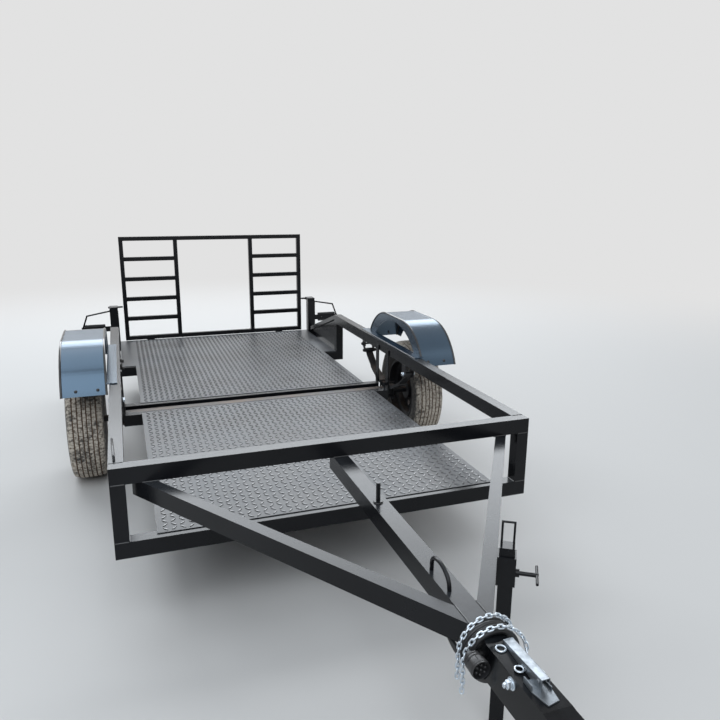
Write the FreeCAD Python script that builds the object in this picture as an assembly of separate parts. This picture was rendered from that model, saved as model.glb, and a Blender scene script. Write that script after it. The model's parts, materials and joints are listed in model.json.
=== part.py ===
import FreeCAD, Part
import math
import os

V = FreeCAD.Vector

# A single axle utility trailer: a box section frame with an open front hoop, a steel floor,
# leaf springs under the side rails, two wheels, an A-frame drawbar with a ball coupler,
# a sliding leg on the drawbar and a ladder gate that folds down as a ramp.
# Millimetres. X is across the trailer, Y runs from the coupler to the gate, Z is up.
# Stations along Y are measured from the front face of the hoop, heights from the underside
# of the floor frame. place() moves them to the trailer's own origin on the ground.

# Wheels and ride height
tyre_radius = 300.0
tyre_width = 176.0
tyre_wall = 13.0
tyre_shoulder = 24.0
tyre_bulge_height = 8.0
tyre_edge_inset = 5.0
rim_radius = 178.0
rim_width = 140.0
rim_wall = 4.0
rim_flange = 8.0
rim_flange_width = 6.0
rim_well = 22.0
rim_slope = 12.0
outer_seat_width = 36.0
inner_seat_width = 40.0
bead_half_width = 63.0
bead_height = 12.0
disc_thickness = 4.0
disc_offset = 10.0
hand_hole_count = 8
hand_hole_radius = 17.0
hand_hole_circle = 112.0
wheel_station = 1465.0
wheel_side_gap = 132.0
wheel_centre_height = 27.0
frame_underside = tyre_radius - wheel_centre_height

# Hoop and side rails
bed_width = 1600.0
bed_length = 3240.0
rail_width = 50.0
rail_height = 60.0
hoop_height = 330.0
hoop_depth = 50.0
heavy_wall = 3.2
light_wall = 2.0
rail_end_station = 2450.0
rear_post_size = 60.0
rear_post_height = 318.0
brace_depth = 30.0
brace_width = 30.0
brace_foot_height = 70.0
side_plate_thickness = 2.5

# Floor
floor_side_gap = 90.0
front_floor_thickness = 3.2
rear_floor_thickness = 2.5
front_floor_start = 26.0
front_floor_end = 1386.0
rear_floor_start = 1568.0
side_floor_start = 2425.0
bearer_width = 40.0
bearer_inset = 30.0
axle_member_depth = 50.0
front_member_station = 1372.0
rear_member_station = 1532.0
strut_thickness = 6.0
strut_width = 40.0
strut_top = 300.0

# Axle and springs
axle_size = 50.0
axle_wall = 5.0
axle_beam_overhang = 15.0
seat_gap = 0.3
spring_width = 45.0
leaf_thickness = 7.0
leaf_shortening = 85.0
leaf_count = 4
spring_half_length = 310.0
eye_height = 215.0
eye_radius = 14.0
eye_bolt_radius = 6.0
hanger_thickness = 5.0
hanger_gap = 0.3
hanger_radius = 24.0
shackle_pin_height = 252.0
shackle_pin_offset = 30.0
shackle_radius = 13.0
u_bolt_radius = 5.0
u_bolt_play = 1.5
u_bolt_end = 14.0
nut_size = 9.5
nut_height = 8.0
clamp_plate_edge = 7.0
clamp_plate_length = 84.0
clamp_plate_thickness = 8.0
spindle_radius = 17.0
hub_radius = 55.0
hub_boss_radius = 30.0
hub_length = 70.0
hub_cap_reach = 43.0
spindle_gap = 9.0
bearing_clearance = 0.05

# Fenders
fender_shoulder_radius = 325.0
fender_shoulder_offset = 117.0
fender_shoulder_height = 162.0
fender_arch_radius = 430.0
fender_end_height = 280.0
fender_side_gap = 13.0
fender_width = 200.0
fender_thickness = 2.0
fender_base_width = 35.0
fender_base_thickness = 5.0
fender_base_half = 425.0

# Drawbar
drawbar_wall = 4.0
bar_width = 40.0
bar_height = 60.0
bar_inset = 128.0
bar_tip_station = -1033.0
centre_bar_width = 56.0
centre_bar_end = -1180.0

# Coupler
coupler_tail = -1100.0
coupler_width = 66.0
coupler_height = 86.0
coupler_wall = 4.0
coupler_lap = 0.3
ball_radius = 25.0
socket_play = 0.4
head_radius = 38.0
head_taper = 60.0
head_rise = 24.0
head_drop = 34.0
socket_station = -1384.0
ball_height = 18.0
lever_width = 28.0
lever_start = -1262.0
lever_end = -1110.0
lever_front_height = 30.0
lever_tail_height = 9.0
lever_sheet = 2.5
latch_plate_width = 54.0
latch_plate_start = -1306.0
latch_plate_end = -1238.0
latch_ear_height = 14.0
eyelet_radius = 11.0
eyelet_hole = 7.0
eyelet_height = 4.0
eyelet_station = -1196.0

# Sliding leg on the right drawbar
leg_size = 40.0
leg_wall = 3.0
leg_length = 580.0
leg_station = -780.0
sleeve_size = 50.0
sleeve_wall = 4.0
sleeve_height = 84.0
sleeve_drop = 12.0
leg_handle_height = 70.0
leg_handle_radius = 3.0
clamp_screw_rise = 30.0
clamp_nut_radius = 11.0
clamp_nut_length = 10.0
clamp_screw_radius = 6.0
clamp_screw_length = 60.0
clamp_lever_radius = 4.0
clamp_lever_length = 90.0

# Gate
gate_side_gap = 42.0
gate_height = 800.0
gate_bottom = 64.0
gate_tube = 30.0
gate_wall = 1.6
gate_gap = 12.0
ladder_width = 430.0
rung_count = 4
hinge_radius = 9.0
hinge_pin_radius = 5.0
hinge_length = 60.0
hinge_knuckle = 20.0
hinge_side_play = 1.0
hinge_setback = 10.0
hinge_inset = 188.0
hinge_clearance = 0.05
hinge_plate = 6.0
hinge_pin_inset = 2.0
hinge_lug_drop = 5.0
hinge_plate_foot = 8.0

# Lamp brackets and latches
lamp_arm_height = 170.0
lamp_gap = 40.0
lamp_margin = 20.0
lamp_arm_depth = 5.0
lamp_arm_tall = 40.0
lamp_arm_inset = 10.0
guard_radius = 6.0
guard_sink = 1.0
guard_drop = 30.0
guard_shoulder = 45.0
guard_foot = 10.0
guard_lap = 8.0
latch_bolt_head = 10.0
latch_block = 22.0
latch_bolt_radius = 7.0
latch_air = 5.0
lamp_width = 150.0
lamp_tall = 70.0
lamp_depth = 35.0

# Fittings on the centre bar
stud_station = -387.0
stud_side = -4.0
stud_radius = 7.0
stud_height = 66.0
stud_collar_radius = 15.0
stud_collar_height = 5.0
tie_rod_radius = 5.5
tie_loop_side = -13.0
tie_loop_start = -791.0
tie_loop_length = 103.0
tie_loop_height = 47.0
# The loop's bends: how far along its length each lies, and how high as a share of its height
tie_loop_bends = ((0.02, 0.75), (0.30, 1.0), (0.62, 0.95), (0.94, 0.55))

# Lighting lead: it leaves the left drawbar's underside, is coiled on the neck and ends in a plug
lead_radius = 7.0
lead_exit_station = -945.0
lead_exit_run = 40.0
lead_exit_drop = 20.0
coil_turns = 5
coil_inner_radius = 52.0
coil_front_station = -1099.0
plug_radius = 22.0
plug_length = 54.0
plug_side = -72.0
plug_rise = 31.0

# Safety chains, laid over the coil
link_wire = 4.0
link_width = 15.0
link_pitch = 17.0
link_clearance = 0.7
link_corner = 0.4
chain_lift = 7.7
chain_anchor_run = 125.0
front_chain_hang = 75.0
back_chain_hang = 55.0
chain_bolt_station = -1128.0
chain_bolt_height = 204.0
chain_bolt_radius = 4.0
chain_arc_step = 15
chain_lean_angle = 30

half_bed = bed_width / 2
rail_inner = half_bed - rail_width
floor_half = rail_inner - floor_side_gap
bearer_centre_x = floor_half - bearer_inset
spring_centre_x = half_bed - rail_width / 2
axle_beam_reach = half_bed + axle_beam_overhang
wheel_centre_x = half_bed + wheel_side_gap
hub_cap_x = wheel_centre_x + hub_cap_reach
spindle_end_x = hub_cap_x - spindle_gap
bar_spread = half_bed - bar_inset
fender_inner_x = half_bed + fender_side_gap
fender_outer_x = fender_inner_x + fender_width
gate_width = 2 * (rail_inner - gate_side_gap)
hinge_centre_x = gate_width / 2 - hinge_inset
lamp_arm_reach = rail_inner + rear_post_size + lamp_gap + lamp_width + lamp_margin
gate_face = bed_length + gate_gap
gate_back = gate_face + gate_tube
hinge_station = gate_back + hinge_setback
hinge_height = gate_bottom + gate_tube / 2
model_start = socket_station - head_radius
model_end = hinge_station + hinge_radius
model_middle = (model_start + model_end) / 2

os.makedirs("parts", exist_ok=True)


def place(shape):
    """Moves a shape from station and frame height to the trailer's own origin."""
    moved = shape.copy()
    moved.translate(V(0, -model_middle, frame_underside))
    return moved


def save(name, shape):
    """Writes one node of the trailer to its own file."""
    place(shape).exportStep("parts/" + name + ".step")


def block(x0, x1, y0, y1, z0, z1):
    """A plain rectangular block between two corners."""
    return Part.makeBox(x1 - x0, y1 - y0, z1 - z0, V(x0, y0, z0))


def box_tube(x0, x1, y0, y1, z0, z1, wall):
    """A closed rectangular tube with its ends welded shut."""
    inside = block(x0 + wall, x1 - wall, y0 + wall, y1 - wall, z0 + wall, z1 - wall)
    return block(x0, x1, y0, y1, z0, z1).cut(inside)


def mirror(shape):
    """The same piece on the other side of the trailer."""
    return shape.mirror(V(0, 0, 0), V(1, 0, 0))


def both_sides(name, shape):
    """Saves a right hand piece and its left hand twin."""
    save(name + "_right", shape)
    save(name + "_left", mirror(shape))


def prism(points, height):
    """A flat outline in plan, given as (x, y, z) corners, raised by a height."""
    corners = [V(*point) for point in points]
    face = Part.Face(Part.makePolygon(corners + corners[:1]))
    return face.extrude(V(0, 0, height))


def rod(points, radius):
    """A round bar along straight runs with mitred corners."""
    corners = [V(*point) for point in points]
    circle = Part.Wire(Part.makeCircle(radius, corners[0], corners[1] - corners[0]))
    return Part.makePolygon(corners).makePipeShell([circle], True, False, 1)


def staple(x0, x1, y, low, top, radius):
    """A square bent round bar: two legs and a bridge across the trailer."""
    return rod([(x0, y, low), (x0, y, top), (x1, y, top), (x1, y, low)], radius)


def across(radius, x0, x1, y, z):
    """A round bar that lies across the trailer."""
    return Part.makeCylinder(radius, x1 - x0, V(x0, y, z), V(1, 0, 0))


def hex_nut(x, y, low):
    """A six sided nut that stands on a height."""
    angles = [math.radians(60 * step) for step in range(6)]
    corners = [(x + nut_size * math.cos(angle), y + nut_size * math.sin(angle), low) for angle in angles]
    return prism(corners, nut_height)


def long_plate(outline, x, thickness):
    """A plate that stands along the trailer, given by its (y, z) corners."""
    corners = [V(x, y, z) for y, z in outline]
    return Part.Face(Part.makePolygon(corners + corners[:1])).extrude(V(thickness, 0, 0))


def hoop():
    """The open front frame: two rails across and two posts."""
    top = box_tube(-half_bed, half_bed, 0, hoop_depth, hoop_height - rail_height, hoop_height, heavy_wall)
    bottom = box_tube(-half_bed, half_bed, 0, hoop_depth, 0, rail_height, heavy_wall)
    post = box_tube(rail_inner, half_bed, 0, hoop_depth, rail_height, hoop_height - rail_height, heavy_wall)
    save("hoop_top_rail", top)
    save("hoop_bottom_rail", bottom)
    both_sides("hoop_post", post)


def side_rails():
    """The upper side rails with the posts that end them, the rear posts and the sloped braces."""
    rail_bottom = hoop_height - rail_height
    rail = box_tube(rail_inner, half_bed, hoop_depth, rail_end_station, rail_bottom, hoop_height, light_wall)
    post_start = rail_end_station - rail_width
    post = box_tube(rail_inner, half_bed, post_start, rail_end_station, 0, rail_bottom, light_wall)
    both_sides("side_rail", Part.makeCompound([rail, post]))
    rear_start = bed_length - rear_post_size
    outer = rail_inner + rear_post_size
    both_sides("rear_post", box_tube(rail_inner, outer, rear_start, bed_length, 0, rear_post_height, light_wall))
    middle = half_bed - rail_width / 2
    top = [(rail_end_station, hoop_height), (rear_start, brace_foot_height + brace_depth)]
    bottom = [(rear_start, brace_foot_height), (rail_end_station, hoop_height - brace_depth)]
    brace = long_plate(top + bottom, middle - brace_width / 2, brace_width)
    fill = [(rail_end_station, 0), (rear_start, 0)] + bottom
    plate = long_plate(fill, middle - side_plate_thickness / 2, side_plate_thickness)
    both_sides("side_brace", Part.makeCompound([brace, plate]))


def floor_frame():
    """The bearers and cross members under the floor, and the struts that hang them from the rails."""
    inner = bearer_centre_x - bearer_width / 2
    outer = bearer_centre_x + bearer_width / 2
    wide_start = rail_end_station - rail_width
    rear_start = bed_length - rail_width
    runs = (
        (hoop_depth, front_member_station),
        (rear_member_station + axle_member_depth, wide_start),
        (rail_end_station, rear_start),
    )
    bearers = [box_tube(inner, outer, start, end, 0, rail_height, light_wall) for start, end in runs]
    save("floor_bearers", Part.makeCompound(bearers + [mirror(bearer) for bearer in bearers]))
    strut_face = rail_inner - strut_thickness
    places = (
        (front_member_station, strut_face),
        (rear_member_station, strut_face),
        (wide_start, rail_inner),
        (rear_start, rail_inner),
    )
    members = []
    for station, reach in places:
        members.append(box_tube(-reach, reach, station, station + axle_member_depth, 0, rail_height, light_wall))
    save("cross_members", Part.makeCompound(members))
    inset = (axle_member_depth - strut_width) / 2
    struts = []
    for station in (front_member_station, rear_member_station):
        start = station + inset
        struts.append(block(strut_face, rail_inner, start, start + strut_width, 0, strut_top))
    save("drop_struts", Part.makeCompound(struts + [mirror(strut) for strut in struts]))


def floor():
    """The front and rear floor plates and the narrow plates beside the rear one."""
    half = floor_half
    base = rail_height
    rear_top = base + rear_floor_thickness
    save("front_floor", block(-half, half, front_floor_start, front_floor_end, base, base + front_floor_thickness))
    save("rear_floor", block(-half, half, rear_floor_start, bed_length, base, rear_top))
    side = block(half, rail_inner, side_floor_start, bed_length, base, rear_top)
    save("side_floors", Part.makeCompound([side, mirror(side)]))


def axle():
    """The straight axle: a square tube between the two floor parts, with a spindle at each end."""
    half = axle_size / 2
    z = wheel_centre_height
    beam = box_tube(-axle_beam_reach, axle_beam_reach, wheel_station - half, wheel_station + half,
                    z - half, z + half, axle_wall)
    spindle = across(spindle_radius, axle_beam_reach - 1, spindle_end_x, wheel_station, z)
    save("axle", beam.fuse([spindle, mirror(spindle)]))


def leaf_spring():
    """The stacked leaves over the axle, with an eye at each end of the main leaf."""
    pack_bottom = wheel_centre_height + axle_size / 2 + seat_gap
    main_middle = pack_bottom + leaf_thickness * (leaf_count - 0.5)
    rise = eye_height - eye_radius - main_middle
    radius = (spring_half_length ** 2 + rise ** 2) / (2 * rise)
    x0 = spring_centre_x - spring_width / 2
    x1 = x0 + spring_width
    centre_z = main_middle + radius
    shape = None
    for leaf in range(leaf_count):
        outer = radius + leaf_thickness * (leaf + 0.5)
        ring = across(outer, x0, x1, wheel_station, centre_z)
        ring = ring.cut(across(outer - leaf_thickness, x0 - 1, x1 + 1, wheel_station, centre_z))
        half = spring_half_length - leaf_shortening * leaf
        piece = ring.common(block(x0, x1, wheel_station - half, wheel_station + half, 0, hoop_height))
        shape = piece if shape is None else shape.fuse(piece)
    eyes = (wheel_station - spring_half_length, wheel_station + spring_half_length)
    for eye in eyes:
        shape = shape.fuse(across(eye_radius, x0, x1, eye, eye_height))
    for eye in eyes:
        shape = shape.cut(across(eye_bolt_radius + hanger_gap, x0 - 1, x1 + 1, eye, eye_height))
    both_sides("leaf_spring", shape.removeSplitter())


def hangers():
    """The front hanger under the side rail, and the rear hanger with its shackle links."""
    rail_bottom = hoop_height - rail_height
    thick = hanger_thickness
    x_in = spring_centre_x - spring_width / 2 - hanger_gap
    x_out = spring_centre_x + spring_width / 2 + hanger_gap
    front = wheel_station - spring_half_length
    rear = wheel_station + spring_half_length
    bolt_end = 2 * thick + 6
    pieces = []
    for x0 in (x_in - thick, x_out):
        plate = block(x0, x0 + thick, front - hanger_radius, front + hanger_radius, eye_height, rail_bottom)
        pieces.append(plate.fuse(across(hanger_radius, x0, x0 + thick, front, eye_height)))
    bolt = across(eye_bolt_radius, x_in - bolt_end, x_out + bolt_end, front, eye_height)
    front_hanger = pieces[0].fuse([pieces[1], bolt]).removeSplitter()
    pin = rear + shackle_pin_offset
    dy = pin - rear
    dz = shackle_pin_height - eye_height
    size = math.hypot(dy, dz)
    side_y = -dz / size * shackle_radius
    side_z = dy / size * shackle_radius
    outline = [(rear + side_y, eye_height + side_z), (rear - side_y, eye_height - side_z)]
    outline += [(pin - side_y, shackle_pin_height - side_z), (pin + side_y, shackle_pin_height + side_z)]
    pieces = []
    for x0 in (x_in - thick, x_out):
        low = shackle_pin_height - shackle_radius
        pieces.append(block(x0, x0 + thick, pin - hanger_radius, pin + hanger_radius, low, rail_bottom))
    for x0 in (x_in - 2 * thick, x_out + thick):
        link = long_plate(outline, x0, thick)
        ends = [across(shackle_radius, x0, x0 + thick, rear, eye_height)]
        ends.append(across(shackle_radius, x0, x0 + thick, pin, shackle_pin_height))
        pieces.append(link.fuse(ends))
    pieces.append(across(eye_bolt_radius, x_in - bolt_end, x_out + bolt_end, pin, shackle_pin_height))
    pieces.append(across(eye_bolt_radius, x_in - bolt_end, x_out + bolt_end, rear, eye_height))
    rear_hanger = pieces[0].fuse(pieces[1:]).removeSplitter()
    both_sides("spring_hangers", Part.makeCompound([front_hanger, rear_hanger]))


def spring_clamp():
    """Two U-bolts and the plate that hold the spring down on the axle."""
    beam_bottom = wheel_centre_height - axle_size / 2
    pack_top = beam_bottom + axle_size + leaf_thickness * leaf_count
    reach = spring_width / 2 + u_bolt_radius + u_bolt_play
    plate_top = beam_bottom - seat_gap
    plate_low = plate_top - clamp_plate_thickness
    half = clamp_plate_length / 2
    left = spring_centre_x - reach
    right = spring_centre_x + reach
    edge = u_bolt_radius + clamp_plate_edge
    shape = block(left - edge, right + edge, wheel_station - half, wheel_station + half, plate_low, plate_top)
    offset = axle_size / 2 + u_bolt_radius + u_bolt_play
    top = pack_top + u_bolt_radius + 2 * u_bolt_play
    low = plate_low - u_bolt_end
    for y in (wheel_station - offset, wheel_station + offset):
        bolt = staple(left, right, y, low, top, u_bolt_radius)
        nuts = [hex_nut(x, y, plate_low - nut_height) for x in (left, right)]
        shape = shape.fuse([bolt] + nuts)
    both_sides("spring_clamp", shape.removeSplitter())


def tyre_form(half, bead_half, top, bead):
    """The solid of revolution of one tyre outline about the wheel's own axis."""
    middle = (bead + top) / 2 + tyre_bulge_height
    edge = half - tyre_edge_inset
    right = [(bead_half, bead), (bead_half, bead + bead_height), (half, middle), (edge, top - tyre_shoulder / 2)]
    right.append((half - tyre_shoulder, top))
    left = [(-x, r) for x, r in reversed(right)]
    points = [V(wheel_centre_x + x, wheel_station, wheel_centre_height + r) for x, r in right + left]
    face = Part.Face(Part.makePolygon(points + points[:1]))
    return face.revolve(V(0, wheel_station, wheel_centre_height), V(1, 0, 0), 360)


def wheels():
    """Tyre, pressed rim and hub of the right wheel, and their twins."""
    y = wheel_station
    z = wheel_centre_height
    outer = tyre_form(tyre_width / 2, bead_half_width, tyre_radius, rim_radius)
    inner_bead = bead_half_width - tyre_wall
    inner = tyre_form(tyre_width / 2 - tyre_wall, inner_bead, tyre_radius - tyre_wall, rim_radius - rim_slope)
    both_sides("tyre", outer.cut(inner))
    x0 = wheel_centre_x - rim_width / 2
    x1 = wheel_centre_x + rim_width / 2
    lip = rim_radius + rim_flange
    seat = rim_radius - seat_gap
    well = rim_radius - rim_well
    flange = rim_flange_width
    drop = rim_slope
    outer_kink = x1 - outer_seat_width
    inner_kink = x0 + inner_seat_width
    skew = 0.6 * rim_wall
    under = seat - rim_wall
    outline = [(x0, lip), (x0 + flange, lip), (x0 + flange, seat), (inner_kink, seat), (inner_kink + drop, well)]
    outline += [(outer_kink - drop, well), (outer_kink, seat), (x1 - flange, seat), (x1 - flange, lip), (x1, lip)]
    outline += [(x1, under), (outer_kink + skew, under), (outer_kink - drop + skew, well - rim_wall)]
    outline += [(inner_kink + drop - skew, well - rim_wall), (inner_kink - skew, under), (x0, under)]
    points = [V(x, y, z + r) for x, r in outline]
    band = Part.Face(Part.makePolygon(points + points[:1])).revolve(V(0, y, z), V(1, 0, 0), 360)
    disc_x = wheel_centre_x + disc_offset
    disc_end = disc_x + disc_thickness
    disc = across(well - rim_wall / 2, disc_x, disc_end, y, z)
    disc = disc.cut(across(hub_boss_radius + 1, disc_x - 1, disc_end + 1, y, z))
    for step in range(hand_hole_count):
        angle = 2 * math.pi * (step + 0.5) / hand_hole_count
        hole_y = y + hand_hole_circle * math.cos(angle)
        hole_z = z + hand_hole_circle * math.sin(angle)
        disc = disc.cut(across(hand_hole_radius, disc_x - 1, disc_end + 1, hole_y, hole_z))
    both_sides("rim", band.fuse(disc).removeSplitter())
    hub_x = wheel_centre_x - hub_length / 2
    hub = across(hub_radius, hub_x, disc_x - seat_gap, y, z)
    hub = hub.fuse(across(hub_boss_radius, hub_x, hub_cap_x, y, z))
    bore = across(spindle_radius + bearing_clearance, hub_x - 1, spindle_end_x + 2, y, z)
    both_sides("hub", hub.cut(bore).removeSplitter())


def arch(x0, x1, inset):
    """The fender's outline across the trailer: a flat top between two shoulder curves."""
    y = wheel_station
    z = fender_shoulder_height
    radius = fender_shoulder_radius - inset
    offset = fender_shoulder_offset
    shape = block(x0, x1, y - offset, y + offset, z, z + radius)
    return shape.fuse([across(radius, x0, x1, y - offset, z), across(radius, x0, x1, y + offset, z)])


def fenders():
    """Rolled fenders: a curved top sheet with side lips, on a flat bar along the side rail."""
    y = wheel_station
    sheet = fender_thickness
    shape = arch(fender_inner_x, fender_outer_x, 0)
    shape = shape.cut(arch(fender_inner_x + sheet, fender_outer_x - sheet, sheet))
    shape = shape.cut(across(fender_arch_radius, fender_inner_x - 1, fender_outer_x + 1, y, wheel_centre_height))
    reach = fender_shoulder_radius + fender_shoulder_offset + 1
    keep = block(fender_inner_x - 1, fender_outer_x + 1, y - reach, y + reach, fender_end_height, 2 * hoop_height)
    base = block(half_bed - fender_base_width, fender_inner_x, y - fender_base_half, y + fender_base_half,
                 hoop_height, hoop_height + fender_base_thickness)
    both_sides("fender", shape.common(keep).fuse(base).removeSplitter())


def drawbar():
    """The centre bar with the two angled bars that close the A-frame."""
    top = hoop_height - rail_height
    low = top - bar_height
    half = centre_bar_width / 2
    save("centre_bar", box_tube(-half, half, centre_bar_end, hoop_depth, low, top, drawbar_wall))
    size = math.hypot(bar_spread, bar_tip_station)
    angle = math.degrees(math.atan2(bar_spread, -bar_tip_station))
    side = bar_width / 2
    bar = block(-side, side, -size, size * 1.5, low, top)
    core = block(drawbar_wall - side, side - drawbar_wall, 0, size * 0.93, low + drawbar_wall, top - drawbar_wall)
    keep = block(half, half_bed, centre_bar_end, hoop_depth, low, top)
    for shape in (bar, core):
        shape.rotate(V(0, 0, 0), V(0, 0, 1), -angle)
        shape.translate(V(0, bar_tip_station, 0))
    inner_keep = block(half + drawbar_wall, half_bed, centre_bar_end, hoop_depth - drawbar_wall, low, top)
    both_sides("drawbar", bar.common(keep).cut(core.common(inner_keep)))


def coupler():
    """The pressed coupler body with its ball socket, lever, latch plate and eyelet."""
    bar_top = hoop_height - rail_height
    top = bar_top + coupler_wall + coupler_lap
    low = top - coupler_height
    half = coupler_width / 2
    shoulder = socket_station + head_taper
    head = head_radius
    corners = [V(-head, socket_station, low), V(-half, shoulder, low), V(-half, coupler_tail, low)]
    corners += [V(half, coupler_tail, low), V(half, shoulder, low), V(head, socket_station, low)]
    sides = [Part.makeLine(start, end) for start, end in zip(corners, corners[1:])]
    nose = Part.Arc(corners[-1], V(0, socket_station - head, low), corners[0]).toShape()
    body = Part.Face(Part.Wire(sides + [nose])).extrude(V(0, 0, top - low))
    tip = socket_station - head
    socket_low = low + head_rise
    profile = [(coupler_tail, low), (coupler_tail, top), (latch_plate_start - 4, top)]
    profile += [(socket_station, top - head_drop / 4), (tip, top - head_drop), (tip, socket_low)]
    profile += [(shoulder, socket_low), (latch_plate_end, low)]
    body = body.common(long_plate(profile, -head - 1, 2 * head + 2))
    inner = half - coupler_wall
    body = body.cut(block(-inner, inner, shoulder, coupler_tail + 1, low - 1, top - coupler_wall))
    ball = ball_radius + socket_play
    socket = Part.makeSphere(ball, V(0, socket_station, socket_low + ball_height))
    mouth = Part.makeCylinder(ball, ball_height + 1, V(0, socket_station, socket_low - 1))
    body = body.cut(socket.fuse(mouth))
    base = top + seat_gap
    sheet = lever_sheet
    side = [(lever_start, base + sheet), (lever_end, base + sheet), (lever_end, base + lever_tail_height)]
    side.append((lever_start, base + lever_front_height))
    under = [(lever_start - 1, base), (lever_end + 1, base), (lever_end + 1, base + lever_tail_height - sheet)]
    under.append((lever_start - 1, base + lever_front_height - sheet))
    lever = long_plate(side, 0, lever_width).cut(long_plate(under, sheet, lever_width - 2 * sheet))
    half_plate = latch_plate_width / 2
    corner = latch_plate_start + half_plate / 2
    outline = [(-half_plate, latch_plate_end, base), (-half_plate, corner, base), (0, latch_plate_start, base)]
    outline += [(half_plate, corner, base), (half_plate, latch_plate_end, base)]
    plate = prism(outline, sheet)
    for x in (-half_plate, half_plate - sheet):
        plate = plate.fuse(block(x, x + sheet, corner, latch_plate_end, base, base + latch_ear_height))
    save("coupler_latch", plate.fuse(lever).removeSplitter())
    eyelet = Part.makeCylinder(eyelet_radius, eyelet_height, V(-half / 3, eyelet_station, top))
    eyelet = eyelet.cut(Part.makeCylinder(eyelet_hole, eyelet_height, V(-half / 3, eyelet_station, top)))
    save("coupler_body", body.fuse(eyelet).removeSplitter())


def leg():
    """The sleeve on the right drawbar, the sliding leg in it and its clamp screw."""
    bar_top = hoop_height - rail_height
    angle = math.degrees(math.atan2(bar_spread, -bar_tip_station))
    x, y = drawbar_point(leg_station, sleeve_size / 2 + seat_gap)
    sleeve_low = bar_top - bar_height - sleeve_drop
    half = sleeve_size / 2
    inner = half - sleeve_wall
    sleeve = block(-half, half, -half, half, sleeve_low, sleeve_low + sleeve_height)
    sleeve = sleeve.cut(block(-inner, inner, -inner, inner, sleeve_low - 1, sleeve_low + sleeve_height + 1))
    screw_z = sleeve_low + clamp_screw_rise
    start = V(half, 0, screw_z)
    screw = Part.makeCylinder(clamp_nut_radius, clamp_nut_length, start, V(1, 0, 0))
    screw = screw.fuse(Part.makeCylinder(clamp_screw_radius, clamp_screw_length, start, V(1, 0, 0)))
    lever_start = V(half + clamp_screw_length - clamp_lever_radius, -clamp_lever_length / 2, screw_z)
    screw = screw.fuse(Part.makeCylinder(clamp_lever_radius, clamp_lever_length, lever_start, V(0, 1, 0)))
    foot = -frame_underside
    edge = leg_size / 2
    top = foot + leg_length
    post = box_tube(-edge, edge, -edge, edge, foot, top, leg_wall)
    side = edge - leg_handle_radius - 1
    loop_top = top + leg_handle_height - leg_handle_radius
    loop = staple(-side, side, 0, top - 1, loop_top, leg_handle_radius)
    for name, shape in (("leg_sleeve", sleeve.fuse(screw)), ("sliding_leg", post.fuse(loop))):
        turned = shape.copy()
        turned.rotate(V(0, 0, 0), V(0, 0, 1), -angle)
        turned.translate(V(x, y, 0))
        save(name, turned)
    print("leg at", round(x, 2), round(y - model_middle, 2))


def gate():
    """The ladder gate: top and bottom bars and two ladders, with the hinge pins in the bottom bar."""
    half = gate_width / 2
    y0 = gate_face
    y1 = gate_back
    z0 = gate_bottom
    z1 = gate_bottom + gate_height
    tube = gate_tube
    save("gate_top_bar", box_tube(-half, half, y0, y1, z1 - tube, z1, gate_wall))
    bottom = box_tube(-half, half, y0, y1, z0, z0 + tube, gate_wall)
    plates = []
    for centre in (-hinge_centre_x, hinge_centre_x):
        low_x = centre - hinge_length / 2
        high_x = centre + hinge_length / 2
        outer_low = low_x - hinge_side_play - hinge_knuckle
        outer_high = high_x + hinge_side_play + hinge_knuckle
        pin_start = outer_low + hinge_pin_inset
        pin_end = outer_high - hinge_pin_inset
        pin = across(hinge_pin_radius, pin_start, pin_end, hinge_station, hinge_height)
        knuckles = []
        for x0 in (outer_low, high_x + hinge_side_play):
            knuckle = across(hinge_radius, x0, x0 + hinge_knuckle, hinge_station, hinge_height)
            low = hinge_height - hinge_radius
            tab = block(x0, x0 + hinge_knuckle, y1 - gate_wall / 2, hinge_station, low, hinge_height)
            knuckles += [knuckle, tab]
        bottom = bottom.fuse([pin] + knuckles)
        barrel = across(hinge_radius, low_x, high_x, hinge_station, hinge_height)
        lug_low = gate_bottom - 2 * hinge_plate - hinge_lug_drop
        lug_top = lug_low + hinge_plate
        lug_end = hinge_station + hinge_plate
        shape = block(low_x, high_x, hinge_station - hinge_plate, lug_end, lug_low, hinge_height)
        shape = shape.fuse([barrel, block(low_x, high_x, bed_length, lug_end, lug_low, lug_top)])
        foot = block(low_x, high_x, bed_length, bed_length + hinge_plate, hinge_plate_foot, lug_top)
        shape = shape.fuse(foot)
        hole = across(hinge_pin_radius + hinge_clearance, low_x - 1, high_x + 1, hinge_station, hinge_height)
        plates.append(shape.cut(hole).removeSplitter())
    save("gate_bottom_bar", bottom.removeSplitter())
    save("gate_hinges", Part.makeCompound(plates))
    inner = half - ladder_width
    pitch = (gate_height - tube) / (rung_count + 1)
    uprights = [box_tube(x, x + tube, y0, y1, z0 + tube, z1 - tube, gate_wall) for x in (inner, half - tube)]
    rungs = []
    for step in range(1, rung_count + 1):
        z = z0 + step * pitch
        rungs.append(box_tube(inner + tube, half - tube, y0, y1, z, z + tube, gate_wall))
    both_sides("gate_ladder", Part.makeCompound(uprights + rungs))


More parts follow.
